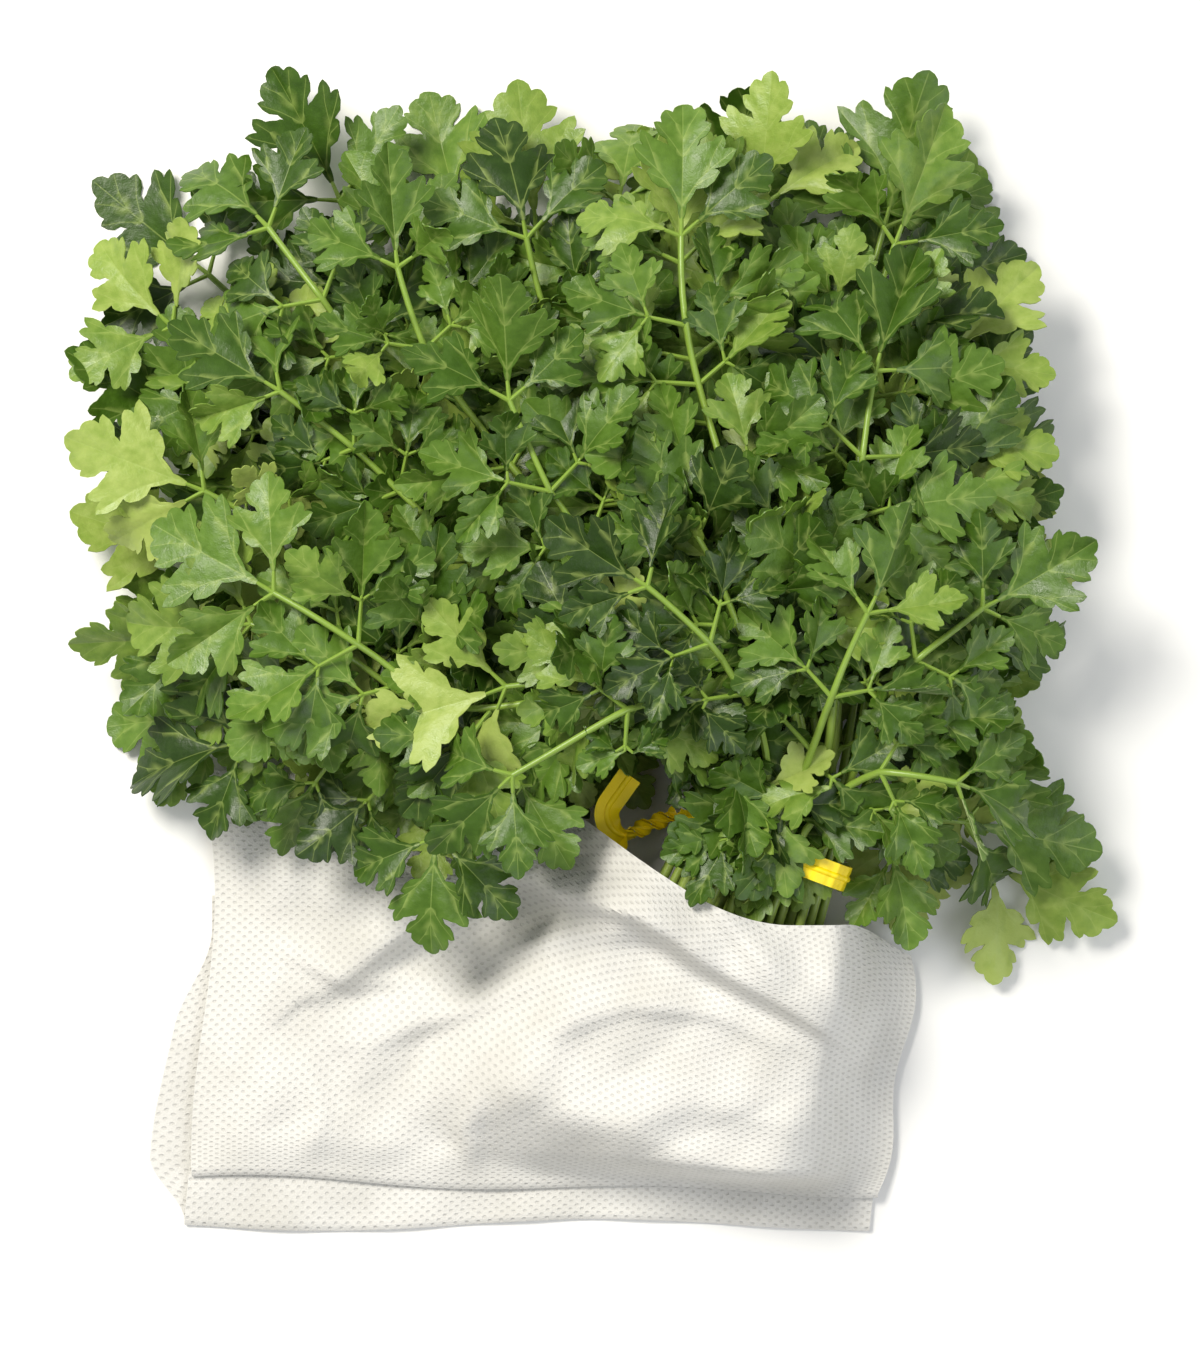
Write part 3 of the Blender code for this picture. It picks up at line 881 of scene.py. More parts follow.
    def _three(self, draft: MeshDraft, root: Point, long: float, yaw: float, pitch: float,
               roll: float) -> None:
        """Three leaflets at the end of a side stalk.

        Args:
            draft: the sprig's mesh.
            root: end of the stalk.
            long: length of the middle leaflet.
            yaw: its way in plan.
            pitch: its climb.
            roll: its lean to one side.
        """
        for turned, share in ((0.0, 1.0), (60.0, 0.80), (-60.0, 0.80)):
            away = yaw + math.radians(turned + self.rng.uniform(-9.0, 9.0))
            foot = root + np.array([*(heading(away) * (1.2 if turned == 0 else 2.6)), 0.2])
            self._stalk(draft, root, foot, STALK * 0.32)
            self._leaflet(draft, foot, long * share, away, pitch, roll)

    def _stem(self, draft: MeshDraft, places: Point) -> None:
        """The stem from its cut end to the upper fork, thinner towards the leaves.

        Args:
            draft: the sprig's mesh.
            places: (n, 3) places that it passes, in the flat layers.
        """
        course = lie(rounded_course(places, 4.0))
        run = np.concatenate([[0.0], np.cumsum(np.linalg.norm(np.diff(course, axis=0), axis=1))])
        share = run / run[-1]
        uneven = 1.02 + 0.05 * np.sin(run / 23.0 + self.tone * 9)
        points, faces = tube(course, (STEM * (1.0 - share) + STALK * share) / 2 * uneven, TUBE_SIDES)
        along = np.repeat(share, TUBE_SIDES)
        draft.add(points, faces, 2, tone=self.tone, along=np.append(along, [0.0, 1.0]))

    def _stalk(self, draft: MeshDraft, a: Point, b: Point, radius: float) -> None:
        """A leaflet's stalk, slightly bowed.

        Args:
            draft: the sprig's mesh.
            a: its start.
            b: its end.
            radius: radius at its start.
        """
        middle = (a + b) / 2 + np.array([0.0, 0.0, self.rng.uniform(-0.3, 0.7)])
        course = rounded_course(np.array([a, middle, b]), 1.6)
        radii = np.linspace(radius, radius * 0.72, len(course))
        points, faces = tube(course, radii, STALK_SIDES, rib=0.1)
        draft.add(points, faces, 2, tone=self.tone, along=0.85)

    def _leaves(self, draft: MeshDraft, fork: Point, ahead: float, leaflets: Sequence, split: bool) -> None:
        """The leaflets of one fork.

        Args:
            draft: the sprig's mesh.
            fork: the fork's place in the flat layers.
            ahead: the way that the stem runs there.
            leaflets: turn, length and stalk of each.
            split: whether each stalk ends in three smaller leaflets.
        """
        size = self.plan.size
        at = lie(fork)[0]
        for turn, length, stalk in leaflets:
            angle = ahead + math.radians(turn + self.layout.uniform(-5.0, 5.0))
            reach = (1.4 + stalk) * size
            lift = self.layout.uniform(-0.2, 0.3)
            long = length * size * self.layout.uniform(0.9, 1.08)
            slope = self.layout.uniform(-0.02, 0.05)
            for _ in range(LEFT_DRAWS):
                self.layout.random()
            start = np.array([*(fork[:2] + heading(angle) * reach), fork[2] + lift])
            root, tip, side = lie([start, start + [*(heading(angle) * long * 0.6), slope * long * 0.6],
                                   start + [*(heading(angle + math.pi / 2) * 5.0), 0.0]])
            run = tip - root
            yaw = math.atan2(run[1], run[0])
            pitch = math.atan2(run[2], math.hypot(run[0], run[1]))
            roll = math.atan2(side[2] - root[2], 5.0)
            self._stalk(draft, at, root, STALK * 0.42)
            if split:
                self._three(draft, root, long * 1.02, yaw, pitch, roll)
            else:
                self._leaflet(draft, root, long * 1.12, yaw, pitch, roll)

    def _leaflet(self, draft: MeshDraft, root: Point, length: float, yaw: float, pitch: float,
                 roll: float) -> None:
        """One leaflet at the end of its stalk, in its own attitude.

        Args:
            draft: the sprig's mesh.
            root: end of the stalk.
            length: from there to the tip.
            yaw: its way in plan.
            pitch: its climb.
            roll: its lean to one side.
        """
        rng = self.rng
        if self.plan.row >= UPPER_ROWS - 1:
            yaw, length = self._clear_of_tie(root, yaw, length)
        out = np.abs(root[:2] - MIDDLE[:2] + heading(yaw) * length) - EDGE
        length *= 1.0 - min(max(float(out.max()), 0.0) / length, 0.55)
        freedom = 0.55 + 0.45 * min(self.plan.row / 3.0, 1.0)
        tone = min(max(self.tone + rng.gauss(0.0, 0.16), 0.0), 1.0)
        Leaflet(rng.choice(self.patterns), root, length, yaw,
                pitch + math.radians(rng.gauss(9.0, 15.0)) * freedom,
                roll * 0.8 + math.radians(rng.gauss(0.0, 20.0)) * freedom,
                LeafShape.drawn(rng), tone).grow(draft)

    @staticmethod
    def _clear_of_tie(root: Point, yaw: float, length: float) -> tuple[float, float]:
        """Turns or shortens a leaflet that would hide the places where the tie shows.

        Args:
            root: end of the leaflet's stalk.
            yaw: its way in plan.
            length: its length.

        Returns:
            The yaw and the length that it takes.
        """
        for centre, radius in TIE_SHOWS:
            def room(angle: float, long: float) -> float:
                """How far the leaflet stays outside the clear place."""
                steps = root[:2] + heading(angle) * long * np.linspace(0.1, 1.0, 5)[:, None]
                return float(np.linalg.norm(steps - centre, axis=1).min()) - radius
            if room(yaw, length) < 0.0:
                yaw = max((yaw + math.radians(turn) for turn in (-70.0, -35.0, 35.0, 70.0)),
                          key=lambda angle: room(angle, length))
                if room(yaw, length) < -2.0:
                    length *= 0.6
        return yaw, length

    def _keep_above_table(self, draft: MeshDraft) -> None:
        """Lays what would sink into the table on top of it.

        Args:
            draft: the sprig's mesh.
        """
        for points in draft.points:
            z = points[:, 2]
            pressed = self.lowest + (self.table_band - self.lowest) * np.exp((z - self.table_band) / 1.6)
            points[:, 2] = np.where(z < self.table_band, pressed, z)


# --- Materials ----------------------------------------------------------------------------------------
class Finish:
    """A material made of nodes. Each subclass wires its own."""

    name = "finish"

    def __init__(self) -> None:
        """Starts an empty tree of nodes."""
        self.material = bpy.data.materials.new(self.name)
        self.material.use_nodes = True
        self.tree = self.material.node_tree
        self.tree.nodes.clear()
        self.out = self.add("OutputMaterial")

    def add(self, kind: str, settings: dict | None = None, **inputs: object) -> bpy.types.Node:
        """Adds one node.

        Args:
            kind: the node's type without its ShaderNode prefix.
            settings: properties of the node.
            inputs: values or sockets for its inputs; an underscore stands for a blank in a name.

        Returns:
            The node.
        """
        node = self.tree.nodes.new("ShaderNode" + kind)
        for key, value in (settings or {}).items():
            setattr(node, key, value)
        for key, value in inputs.items():
            wanted = key.replace("_", " ")
            socket = node.inputs[int(wanted[1:])] if wanted[0] == "i" and wanted[1:].isdigit() \
                else node.inputs[wanted]
            if isinstance(value, bpy.types.NodeSocket):
                self.tree.links.new(value, socket)
            else:
                socket.default_value = value
        return node

    def value(self, name: str) -> Socket:
        """A per-point number of the mesh."""
        return self.add("Attribute", {"attribute_name": name}).outputs["Fac"]

    def noise(self, size_mm: float, detail: float) -> Socket:
        """Noise with features of the given size."""
        place = self.add("TexCoord").outputs["Object"]
        return self.add("TexNoise", Vector=place, Scale=1.0 / (size_mm * MM), Detail=detail).outputs["Fac"]

    def blend(self, share: float | Socket, low: tuple | Socket, high: tuple | Socket) -> Socket:
        """A colour between two colours.

        Args:
            share: 0 for the first, 1 for the second.
            low: the first colour.
            high: the second colour.

        Returns:
            The colour between them.
        """
        node = self.add("Mix", {"data_type": "RGBA"}, i0=share)
        for index, value in ((6, low), (7, high)):
            if isinstance(value, bpy.types.NodeSocket):
                self.tree.links.new(value, node.inputs[index])
            else:
                node.inputs[index].default_value = value
        return node.outputs[2]

    def math(self, what: str, a: float | Socket, b: float | Socket = 0.0,
             clamp: bool = False) -> Socket:
        """One sum or product of two numbers."""
        return self.add("Math", {"operation": what, "use_clamp": clamp}, i0=a, i1=b).outputs[0]

    def ramp(self, share: Socket, stops: Sequence) -> Socket:
        """A colour read along a list of (place, colour) stops.

        Args:
            share: where to read, 0 to 1.
            stops: place and hex colour of each stop, in order.

        Returns:
            The colour there.
        """
        node = self.add("ValToRGB", i0=share)
        ramp = node.color_ramp
        while len(ramp.elements) < len(stops):
            ramp.elements.new(0.5)
        for element, (place, colour) in zip(ramp.elements, stops):
            element.position = place
            element.color = srgb(colour)
        return node.outputs["Color"]

    def stirred(self, base: Socket, noise: Socket, reach: float) -> Socket:
        """A number from 0 to 1 that a noise moves up and down."""
        swing = self.math("MULTIPLY", self.math("SUBTRACT", noise, 0.5), reach)
        return self.math("ADD", base, swing, True)

    def relief(self, height: Socket, strength: float, deep_mm: float) -> Socket:
        """The normal of a surface with a fine relief."""
        return self.add("Bump", Height=height, Strength=strength, Distance=deep_mm * MM).outputs["Normal"]

    def lit_through(self, face: bpy.types.Node, share: float, **light: object) -> Socket:
        """A thin skin that lets a share of the light through."""
        through = self.add("BsdfTranslucent", **light).outputs[0]
        return self.add("MixShader", i0=share, i1=face.outputs[0], i2=through).outputs[0]

    def finish(self, shader: Socket) -> Material:
        """Ends the material with its shader."""
        self.tree.links.new(shader, self.out.inputs["Surface"])
        return self.material


class LeafTop(Finish):
    """The upper face: a waxy skin, mid to dark green, with pale veins and a fine cell grain."""

    name = "parsley_leaf_upper_skin"

    def make(self) -> Material:
        """Wires the material.

        Returns:
            The finished material.
        """
        blotch = self.noise(3.2, 5.0)
        tone = self.stirred(self.value("tone"), blotch, 0.42)
        green = self.ramp(tone, ((0.0, "#28420e"), (0.30, "#416216"), (0.58, "#62842d"), (0.82, "#8ba545"),
                                 (1.0, "#a9bc60")))
        vein = self.math("POWER", self.value("vein"), 1.3)
        veined = self.blend(self.math("MULTIPLY", vein, 0.48), green, srgb("#a9bd66"))
        speck = self.noise(1.1, 2.0)
        spots = self.math("MULTIPLY", self.math("GREATER_THAN", speck, 0.80), 0.5)
        skin = self.blend(spots, veined, srgb("#7d7a34"))
        grain = self.noise(0.32, 3.0)
        swell = self.noise(1.9, 3.0)
        height = self.math("ADD", self.math("MULTIPLY", grain, 0.22), swell)
        bump = self.relief(height, 0.5, 0.45)
        gloss = self.add("MapRange", Value=blotch, i1=0.3, i2=0.7, i3=0.30, i4=0.46).outputs[0]
        face = self.add("BsdfPrincipled", Base_Color=skin, Roughness=gloss, Normal=bump)
        face.inputs["Specular IOR Level"].default_value = 0.42
        glow = self.blend(0.40, skin, srgb("#a4c441"))
        return self.finish(self.lit_through(face, 0.20, Color=glow, Normal=bump))


class LeafUnder(Finish):
    """The underside: paler, matt, with raised veins."""

    name = "parsley_leaf_underside"

    def make(self) -> Material:
        """Wires the material.

        Returns:
            The finished material.
        """
        tone = self.stirred(self.value("tone"), self.noise(2.6, 4.0), 0.3)
        green = self.ramp(tone, ((0.0, "#58763a"), (0.5, "#779450"), (1.0, "#a0b674")))
        veined = self.blend(self.math("MULTIPLY", self.value("vein"), 0.7), green, srgb("#c8d49a"))
        bump = self.relief(self.noise(0.4, 3.0), 0.3, 0.2)
        face = self.add("BsdfPrincipled", Base_Color=veined, Roughness=0.62, Normal=bump)
        glow = self.blend(0.4, veined, srgb("#a4c441"))
        return self.finish(self.lit_through(face, 0.22, Color=glow))


class StemSkin(Finish):
    """The ribbed stem: yellow-green and juicy, paler towards its cut end."""

    name = "parsley_stem_skin"

    def make(self) -> Material:
        """Wires the material.

        Returns:
            The finished material.
        """
        along = self.stirred(self.value("along"), self.noise(2.4, 4.0), 0.3)
        green = self.ramp(along, ((0.0, "#c9d59a"), (0.18, "#9db456"), (0.6, "#86a23e"), (1.0, "#7c9a3c")))
        bump = self.relief(self.noise(0.5, 3.0), 0.25, 0.2)
        face = self.add("BsdfPrincipled", Base_Color=green, Roughness=0.36, Normal=bump)
        face.inputs["Subsurface Weight"].default_value = 0.12
        face.inputs["Subsurface Radius"].default_value = (0.0012, 0.0016, 0.0006)
        return self.finish(face.outputs[0])


class RibbonSkin(Finish):
    """The tie: yellow plastic-coated paper with fine lengthwise grain."""

    name = "yellow_coated_paper_ribbon"

    def make(self) -> Material:
        """Wires the material.

        Returns:
            The finished material.
        """
        stain = self.noise(2.5, 4.0)
        yellow = self.blend(stain, srgb("#f7d800"), srgb("#ffe40a"))
        bump = self.relief(self.noise(0.6, 4.0), 0.35, 0.2)
        face = self.add("BsdfPrincipled", Base_Color=yellow, Roughness=0.42, Normal=bump)
        return self.finish(face.outputs[0])


class TowelPaper(Finish):
    """Soft white two-ply paper, embossed with staggered dots whose dips carry painted shade, and damp in
    patches.
    """

    name = "embossed_two_ply_paper"

    def make(self) -> Material:
        """Wires the material.

        Returns:
            The finished material.
        """
        place = self.add("UVMap", {"uv_map": "sheet"}).outputs[0]
        sides = self.add("SeparateXYZ", Vector=place)
        across = self.math("SINE", self.math("MULTIPLY", sides.outputs[0], math.tau / EMBOSS[0]))
        along = self.math("SINE", self.math("MULTIPLY", sides.outputs[1], math.tau / EMBOSS[1]))
        dip = self.add("MapRange", Value=self.math("MULTIPLY", across, along), i1=0.35, i2=0.85).outputs[0]
        fibre = self.noise(0.45, 6.0)
        wave = self.noise(7.0, 3.0)
        height = self.math("ADD", self.math("MULTIPLY", dip, -0.8), self.math("MULTIPLY", fibre, 0.9))
        height = self.math("ADD", height, self.math("MULTIPLY", wave, 0.8))
        bump = self.relief(height, 0.65, 0.4)
        damp = self.add("MapRange", Value=self.noise(26.0, 4.0), i1=0.42, i2=0.66, i3=0.0, i4=1.0).outputs[0]
        # Painted shade: the paper is coloured greyer in the embossed dots' dips, where shade would fall, on
        # top of their bump.
        dip_shaded_paper = self.blend(self.math("MULTIPLY", dip, 0.55), srgb("#e6e5e0"), srgb("#c9c8c3"))
        paper = self.blend(self.math("MULTIPLY", damp, 0.35), dip_shaded_paper, srgb("#bfbdb4"))
        face = self.add("BsdfPrincipled", Base_Color=paper, Roughness=0.92, Normal=bump)
        face.inputs["Specular IOR Level"].default_value = 0.2
        return self.finish(self.lit_through(face, 0.12, Color=srgb("#f2efe8"), Normal=bump))


class FloorPaint(Finish):
    """The plain pale surface that the bunch lies on."""

    name = "pale_matt_floor"

    def make(self) -> Material:
        """Wires the material.

        Returns:
            The finished material.
        """
        face = self.add("BsdfPrincipled", Base_Color=srgb("#f4f4f2"), Roughness=0.85)
        return self.finish(face.outputs[0])


# --- The tie ------------------------------------------------------------------------------------------
@dataclass
class TwistTie:
    """The ribbon: a loop round the stems, its twisted ends and a square-cut free end."""

    wide: float = 6.3
    thick: float = 0.42
    wire: float = 0.75  # radius of the ridge over the wire
    clear: float = 2.1  # from the stems to the middle of the ribbon
    loop_steps: int = 120
    twist_long: float = 12.0
    twist_steps: int = 40
    drop: float = math.radians(44.0)  # how far the twisted ends turn from the way across the bunch
    curl: float = math.radians(148.0)
    curl_at: float = 4.6  # radius of the curl
    end: float = 9.5  # straight part of the free end
    end_steps: int = 24

    def loop_place(self, turn: float) -> tuple[float, float]:
        """A point on the rounded oblong round the stems.

        Args:
            turn: angle round the stems.

        Returns:
            Its place across the tie and its height.
        """
        low = ROW_AT_TIE - STEM / 2
        high = ROW_AT_TIE + PITCH_AT_TIE * (len(ROWS) - 1) + STEM / 2
        half = SLOT * (max(len(row) for row in ROWS) - 1) / 2 + STEM / 2
        wide = half + self.clear
        tall = (high - low) / 2 + self.clear
        power = 0.42  # 1 for an ellipse, less for squarer corners
        across = math.copysign(abs(math.cos(turn)) ** power, math.cos(turn)) * wide
        height = math.copysign(abs(math.sin(turn)) ** power, math.sin(turn)) * tall
        return across, height + (low + high) / 2

    def profile(self) -> list[tuple[float, float]]:
        """The ribbon's section, with the ridge of the wire.

        Returns:
            Corners of the section, each as its place across the ribbon and out of its face.
        """
        half = self.wide / 2
        thin = self.thick / 2
        ridge = [(self.wire * math.cos(a), thin + self.wire * 0.75 * math.sin(a))
                 for a in np.linspace(0.0, math.pi, 7)]
        return [(-half, -thin), (half, -thin), (half, thin), (half * 0.6, thin * 1.3), *ridge,
                (-half * 0.6, thin * 1.3), (-half, thin)]

    def ribbon(self, draft: MeshDraft, centres: Point, widths: Point, faces_out: Point, closed: bool) -> None:
        """Sweeps the section along a course.

        Args:
            draft: the tie's mesh.
            centres: (n, 3) course.
            widths: (n, 3) unit vectors along the ribbon's width.
            faces_out: (n, 3) unit vectors out of its face.
            closed: whether the last place joins the first.
        """
        section = np.array(self.profile())
        count, n = len(centres), len(section)
        points = (centres[:, None] + widths[:, None] * section[None, :, 0, None]
                  + faces_out[:, None] * section[None, :, 1, None]).reshape(-1, 3)
        i, j = np.meshgrid(np.arange(count if closed else count - 1), np.arange(n), indexing="ij")
        a, b = i * n + j, i * n + (j + 1) % n
        c, d = (i + 1) % count * n + (j + 1) % n, (i + 1) % count * n + j
        faces = np.concatenate([np.stack(corners, -1).reshape(-1, 3) for corners in ((a, b, c), (a, c, d))])
        if not closed:
            last = (count - 1) * n
            first_cap = [(0, k + 1, k) for k in range(1, n - 1)]
            last_cap = [(last, last + k, last + k + 1) for k in range(1, n - 1)]
            faces = np.vstack([faces, first_cap, last_cap])
        a, b, c = (points[faces[:, k]] for k in range(3))
        if np.einsum("ij,ij->i", a, np.cross(b, c)).sum() < 0:
            faces = faces[:, ::-1]
        draft.add(points, faces, 0)

    def make(self, material: Material) -> Object:
        """Makes the tie's piece.

        Args:
            material: the ribbon's finish.

        Returns:
            The finished object.
        """
        draft = MeshDraft("twist_tie_ribbon")
        along = np.array([*ALONG, 0.0])
        centres, widths, outs = [], [], []
        for turn in np.linspace(0.0, 2 * math.pi, self.loop_steps, endpoint=False):
            here, there = self.loop_place(turn), self.loop_place(turn + 0.02)
            crinkle = 0.16 * math.sin(turn * 17.0) + 0.1 * math.sin(turn * 31.0)
            step = np.array([there[0] - here[0], there[1] - here[1]])
            step /= np.linalg.norm(step)
            out = np.array([*(ACROSS * step[1]), -step[0]])
            centres.append(np.array([*(TIE_AT + ACROSS * here[0]), here[1]]) + out * crinkle)
            tilt = along + out * 0.05 * math.sin(turn * 3.0)
            widths.append(tilt / np.linalg.norm(tilt))
            outs.append(out)
        self.ribbon(draft, np.array(centres), np.array(widths), np.array(outs), True)
        self._ends(draft)
        return draft.build([material], 40.0)

    def _ends(self, draft: MeshDraft) -> None:
        """The two ends twisted together, one of which curls back and ends square.

        Args:
            draft: the tie's mesh.
        """
        across, height = self.loop_place(0.0)
        course = LEAN + math.pi / 2 + self.drop
        foot = np.array([*(TIE_AT + ACROSS * (across + 0.9)), height - 4.0])
        ahead = np.array([*heading(course), 0.0])
        side = np.array([*heading(course + math.pi / 2), 0.0])
        up = np.array([0.0, 0.0, 1.0])
        for strand in (0.0, math.pi):
            centres, widths, outs = [], [], []
            for share in np.linspace(0.0, 1.0, self.twist_steps):
                roll = 2.6 * math.pi * share + strand
                flat = side * math.cos(roll) + up * math.sin(roll)
                out = up * math.cos(roll) - side * math.sin(roll)
                centres.append(foot + ahead * self.twist_long * share + out * 0.55)
                widths.append(flat * (0.66 + 0.34 * float(smooth(0.8, 1.0, share))))
                outs.append(out)
            end = centres[-1]
            turn_by = self.curl if strand else -0.9
            reach = self.end if strand else 5.0
            flat, out = widths[-1], outs[-1]
            for k in range(1, self.end_steps + 1):
                share = k / self.end_steps
                turned = course - turn_by * min(share * 1.6, 1.0)
                step = (self.curl * self.curl_at + reach) / self.end_steps
                end = end + np.array([*(heading(turned) * step), step * (0.42 if strand else -0.1)])
                level = np.array([*heading(turned + math.pi / 2), 0.0])
                ease = float(smooth(0.0, 0.35, share))
                width = flat * (1 - ease) + level * ease
                width /= np.linalg.norm(width)
                face = out * (1 - ease) + up * ease
                face -= width * (face @ width)
                centres.append(end)
                widths.append(width)
                outs.append(face / np.linalg.norm(face))
            self.ribbon(draft, np.array(centres), np.array(widths), np.array(outs), False)


# --- The towel ----------------------------------------------------------------------------------------
@dataclass
class Crease:
    """A raised fold of the towel along a line, gentle on one side and steep on the other."""

    line: Sequence  # its (x, y) places
    high: float  # below 0 for a valley
    gentle: float  # width of its left side, seen along the line
    steep: float  # width of its right side

    def lift(self, x: Point, y: Point) -> Point:
        """How far the crease raises each point.

        Args:
            x: places across, an array.
            y: places along, an array of the same shape.

        Returns:
            The lift, in that shape.
        """
        here = np.column_stack([x.ravel(), y.ravel()])
        line = np.array(self.line, float)
        whole = np.linalg.norm(np.diff(line, axis=0), axis=1).sum()
        best = np.full(len(here), 1e9)
        signed = np.zeros(len(here))
        along = np.zeros(len(here))
        done = 0.0
        for a, b in zip(line, line[1:]):
            run = b - a
            long = np.linalg.norm(run)
            share = np.clip(((here - a) @ run) / long ** 2, 0.0, 1.0)
            away = here - a - share[:, None] * run
            far = np.linalg.norm(away, axis=1)
            left = run[0] * away[:, 1] - run[1] * away[:, 0]
            closer = far < best
            best[closer] = far[closer]
            signed[closer] = np.where(left[closer] >= 0, 1.0, -1.0)
            along[closer] = (done + share[closer] * long) / whole
            done += long
        width = np.where(signed > 0, self.gentle, self.steep)
        fade = np.sin(np.pi * np.clip(along * 0.9 + 0.05, 0.0, 1.0)) ** 0.7
        return (self.high * fade * np.exp(-((best / width) ** 2))).reshape(x.shape)


TOWEL_CREASES = (
    Crease(((-66, -86), (-44, -70), (-20, -54), (-5, -60), (15, -65), (32, -77), (56, -90), (80, -106)),
           10.0, 12.0, 2.8),
    Crease(((-66, -93), (-42, -78), (-18, -62), (-4, -67), (15, -72), (32, -84), (56, -97)),
           -3.2, 4.5, 6.0),
    Crease(((-54, -99), (-24, -88), (-8, -80)), 4.5, 7.0, 3.0),
    Crease(((-22, -76), (-2, -70), (22, -69)), 4.5, 4.5, 3.0),
    Crease(((-26, -110), (-29, -121), (-27, -131)), 3.2, 3.5, 2.6),
    Crease(((28, -56), (40, -70), (52, -84)), 4.4, 6.0, 3.6),
    Crease(((-84, -50), (-60, -62), (-30, -60)), 2.6, 8.0, 5.0),
    Crease(((0, -118), (30, -112), (60, -118)), 2.8, 9.0, 5.0),
    Crease(((-78, -74), (-58, -84), (-40, -83)), 2.4, 4.0, 2.2),
    Crease(((-10, -96), (12, -88), (34, -90), (50, -98)), 2.6, 5.0, 2.4),
    Crease(((60, -76), (68, -92), (71, -112)), 3.0, 4.0, 3.0),
    Crease(((-70, -104), (-66, -116), (-69, -128)), 1.8, 3.0, 2.2),
)


@dataclass
class PaperTowel:
    """One sheet folded double round the stem ends, with a tuck at its foot."""

    left: float = -96.0
    right: float = 84.0
    foot: float = -133.0
    tuck: float = 9.0
    hem: float = -145.0
    lower_top: float = -62.0
    span: float = 178.0  # width between the two rims
    deep: float = 96.0  # usual length of the upper ply, from its mouth to its foot
    over_stems: float = 2.2  # from the top of the stems to the paper
    beside: float = 6.0  # height of the upper ply beside the stems
    low: float = 0.45  # height of the lower ply
    creases: Sequence[Crease] = TOWEL_CREASES
    flat: tuple = (0.0, 0.0)  # the sheet's flat size in metres, once it is made

    @staticmethod
    def mouth(x: Point) -> Point:
        """Where the upper ply's open edge runs."""
        return -30.0 - 38.0 * smooth(-30.0, 52.0, x) - 10.0 * smooth(66.0, 88.0, x)

    def height(self, x: Point, y: Point) -> Point:
        """Height of the upper ply over the stems and beside them.

        Args:
            x: places across.
            y: places along.

        Returns:
            The height at each.
        """
        away_x, away_y = x - TIE_AT[0], y - TIE_AT[1]
        below = -(away_x * ALONG[0] + away_y * ALONG[1])
        down = np.clip(below, 0.0, TAIL)
        half = (SLOT * 4 + STEM / 2) * (1.0 + (ENDS_SPREAD - 1.0) * down / TAIL)
        rows = len(ROWS) - 1
        at_tie = ROW_AT_TIE + PITCH_AT_TIE * rows
        at_ends = ROW_AT_ENDS + PITCH_AT_ENDS * rows
        top = at_tie + (at_ends - at_tie) * smooth(0.0, TAIL, down) + STEM / 2 + self.over_stems
        past = np.abs(away_x * ACROSS[0] + away_y * ACROSS[1]) - half - 1.0
        lifted = (1.0 - smooth(0.0, 34.0, past)) * (1.0 - smooth(TAIL + 5.0, TAIL + 29.0, below))
        return self.beside + (top - self.beside) * lifted

    def middle(self) -> tuple[Point, Point]:
        """The sheet's middle surface, from its open edge round to its lower end.

        Returns:
            Its grid of points, and the flat coordinates of each in millimetres.
        """
        us = np.linspace(0.0, 1.0, int(self.span / TOWEL_MESH))
        x = self.left + (self.right - self.left) * us
        rows = self._upper_ply(us, x)
        rows += self._tuck_and_hem(rows[-1], x)
        rows += self._lower_ply(rows[-1], us, x)
        grid = np.array(rows)
        steps = np.linalg.norm(np.diff(grid, axis=0), axis=2).mean(axis=1)
        run = np.concatenate([[0.0], np.cumsum(steps)])
        flat = np.stack(np.broadcast_arrays(x[None, :] - self.left, run[:, None]), axis=-1)
        return grid, flat

    def _upper_ply(self, us: Point, x: Point) -> list[Point]:
        """The ply over the stems, with its creases and crumples.

        Args:
            us: share of the width of each column, 0 at the left.
            x: place across of each column.

        Returns:
            Rows of (x, y, z) from the mouth to the foot.
        """
        mouth = self.mouth(x)
        foot = self.foot - 3.5 * smooth(-90.0, 70.0, x) + 1.2 * np.sin(x / 17.0)
        edge = np.minimum(us, 1 - us) * self.span
        rows = []
        for share in np.linspace(0.0, 1.0, int(self.deep / TOWEL_MESH)):
            y = mouth + (foot - mouth) * share
            left_wave = 3.0 * np.sin(share * 5.0) * (1 - us)
            right_wave = (-9.0 * share ** 2) * us + 1.6 * us * np.sin(share * 9.0)
            px = x + (left_wave + right_wave)
            z = self.height(px, y)
            for crease in self.creases:
                z = z + crease.lift(px, y)
            z = z + 0.6 * np.sin(px / 6.0 + y / 9.0) * np.sin(y / 7.0) + 0.3 * np.sin(px / 3.1 - y / 4.2)
            z = z + 0.9 * np.abs(np.sin(px / 17.0 - y / 11.0 + 0.8 * np.sin(y / 13.0))) ** 0.6
            z = 2.6 + (z - 2.6) * (0.12 + 0.88 * smooth(0.0, 22.0, edge))
            z = np.where(share > 0.9, 4.2 + (z - 4.2) * (1 - smooth(0.9, 1.0, share)) ** 0.8, z)
            rows.append(np.column_stack([px, y, z]))
        return rows

    def _tuck_and_hem(self, bottom: Point, x: Point) -> list[Point]:
        """The fold back under the foot, and the hem that shows below it.

        Args:
            bottom: the upper ply's last row.
            x: place across of each column.

        Returns:
            Rows of (x, y, z) that follow it.
        """
        tuck = [(0.9, -1.0), (0.6, -1.9), (-2.0, -2.1), (-5.0, -2.1), (-self.tuck, -2.2)]
        rows = [np.column_stack([bottom[:, 0], bottom[:, 1] - dy, bottom[:, 2] + dz]) for dy, dz in tuck]
        deep = rows[-1]
        hem = self.hem + 1.5 * np.sin(x / 23.0 + 1.0)
        for share in np.linspace(0.0, 1.0, 17)[1:]:
            y = deep[:, 1] + (hem - deep[:, 1]) * share
            z = 1.75 + 0.35 * np.sin(deep[:, 0] / 5.0 + share * 4.0) * share
            rows.append(np.column_stack([deep[:, 0] - 2.0 * share, y, z]))
        return rows

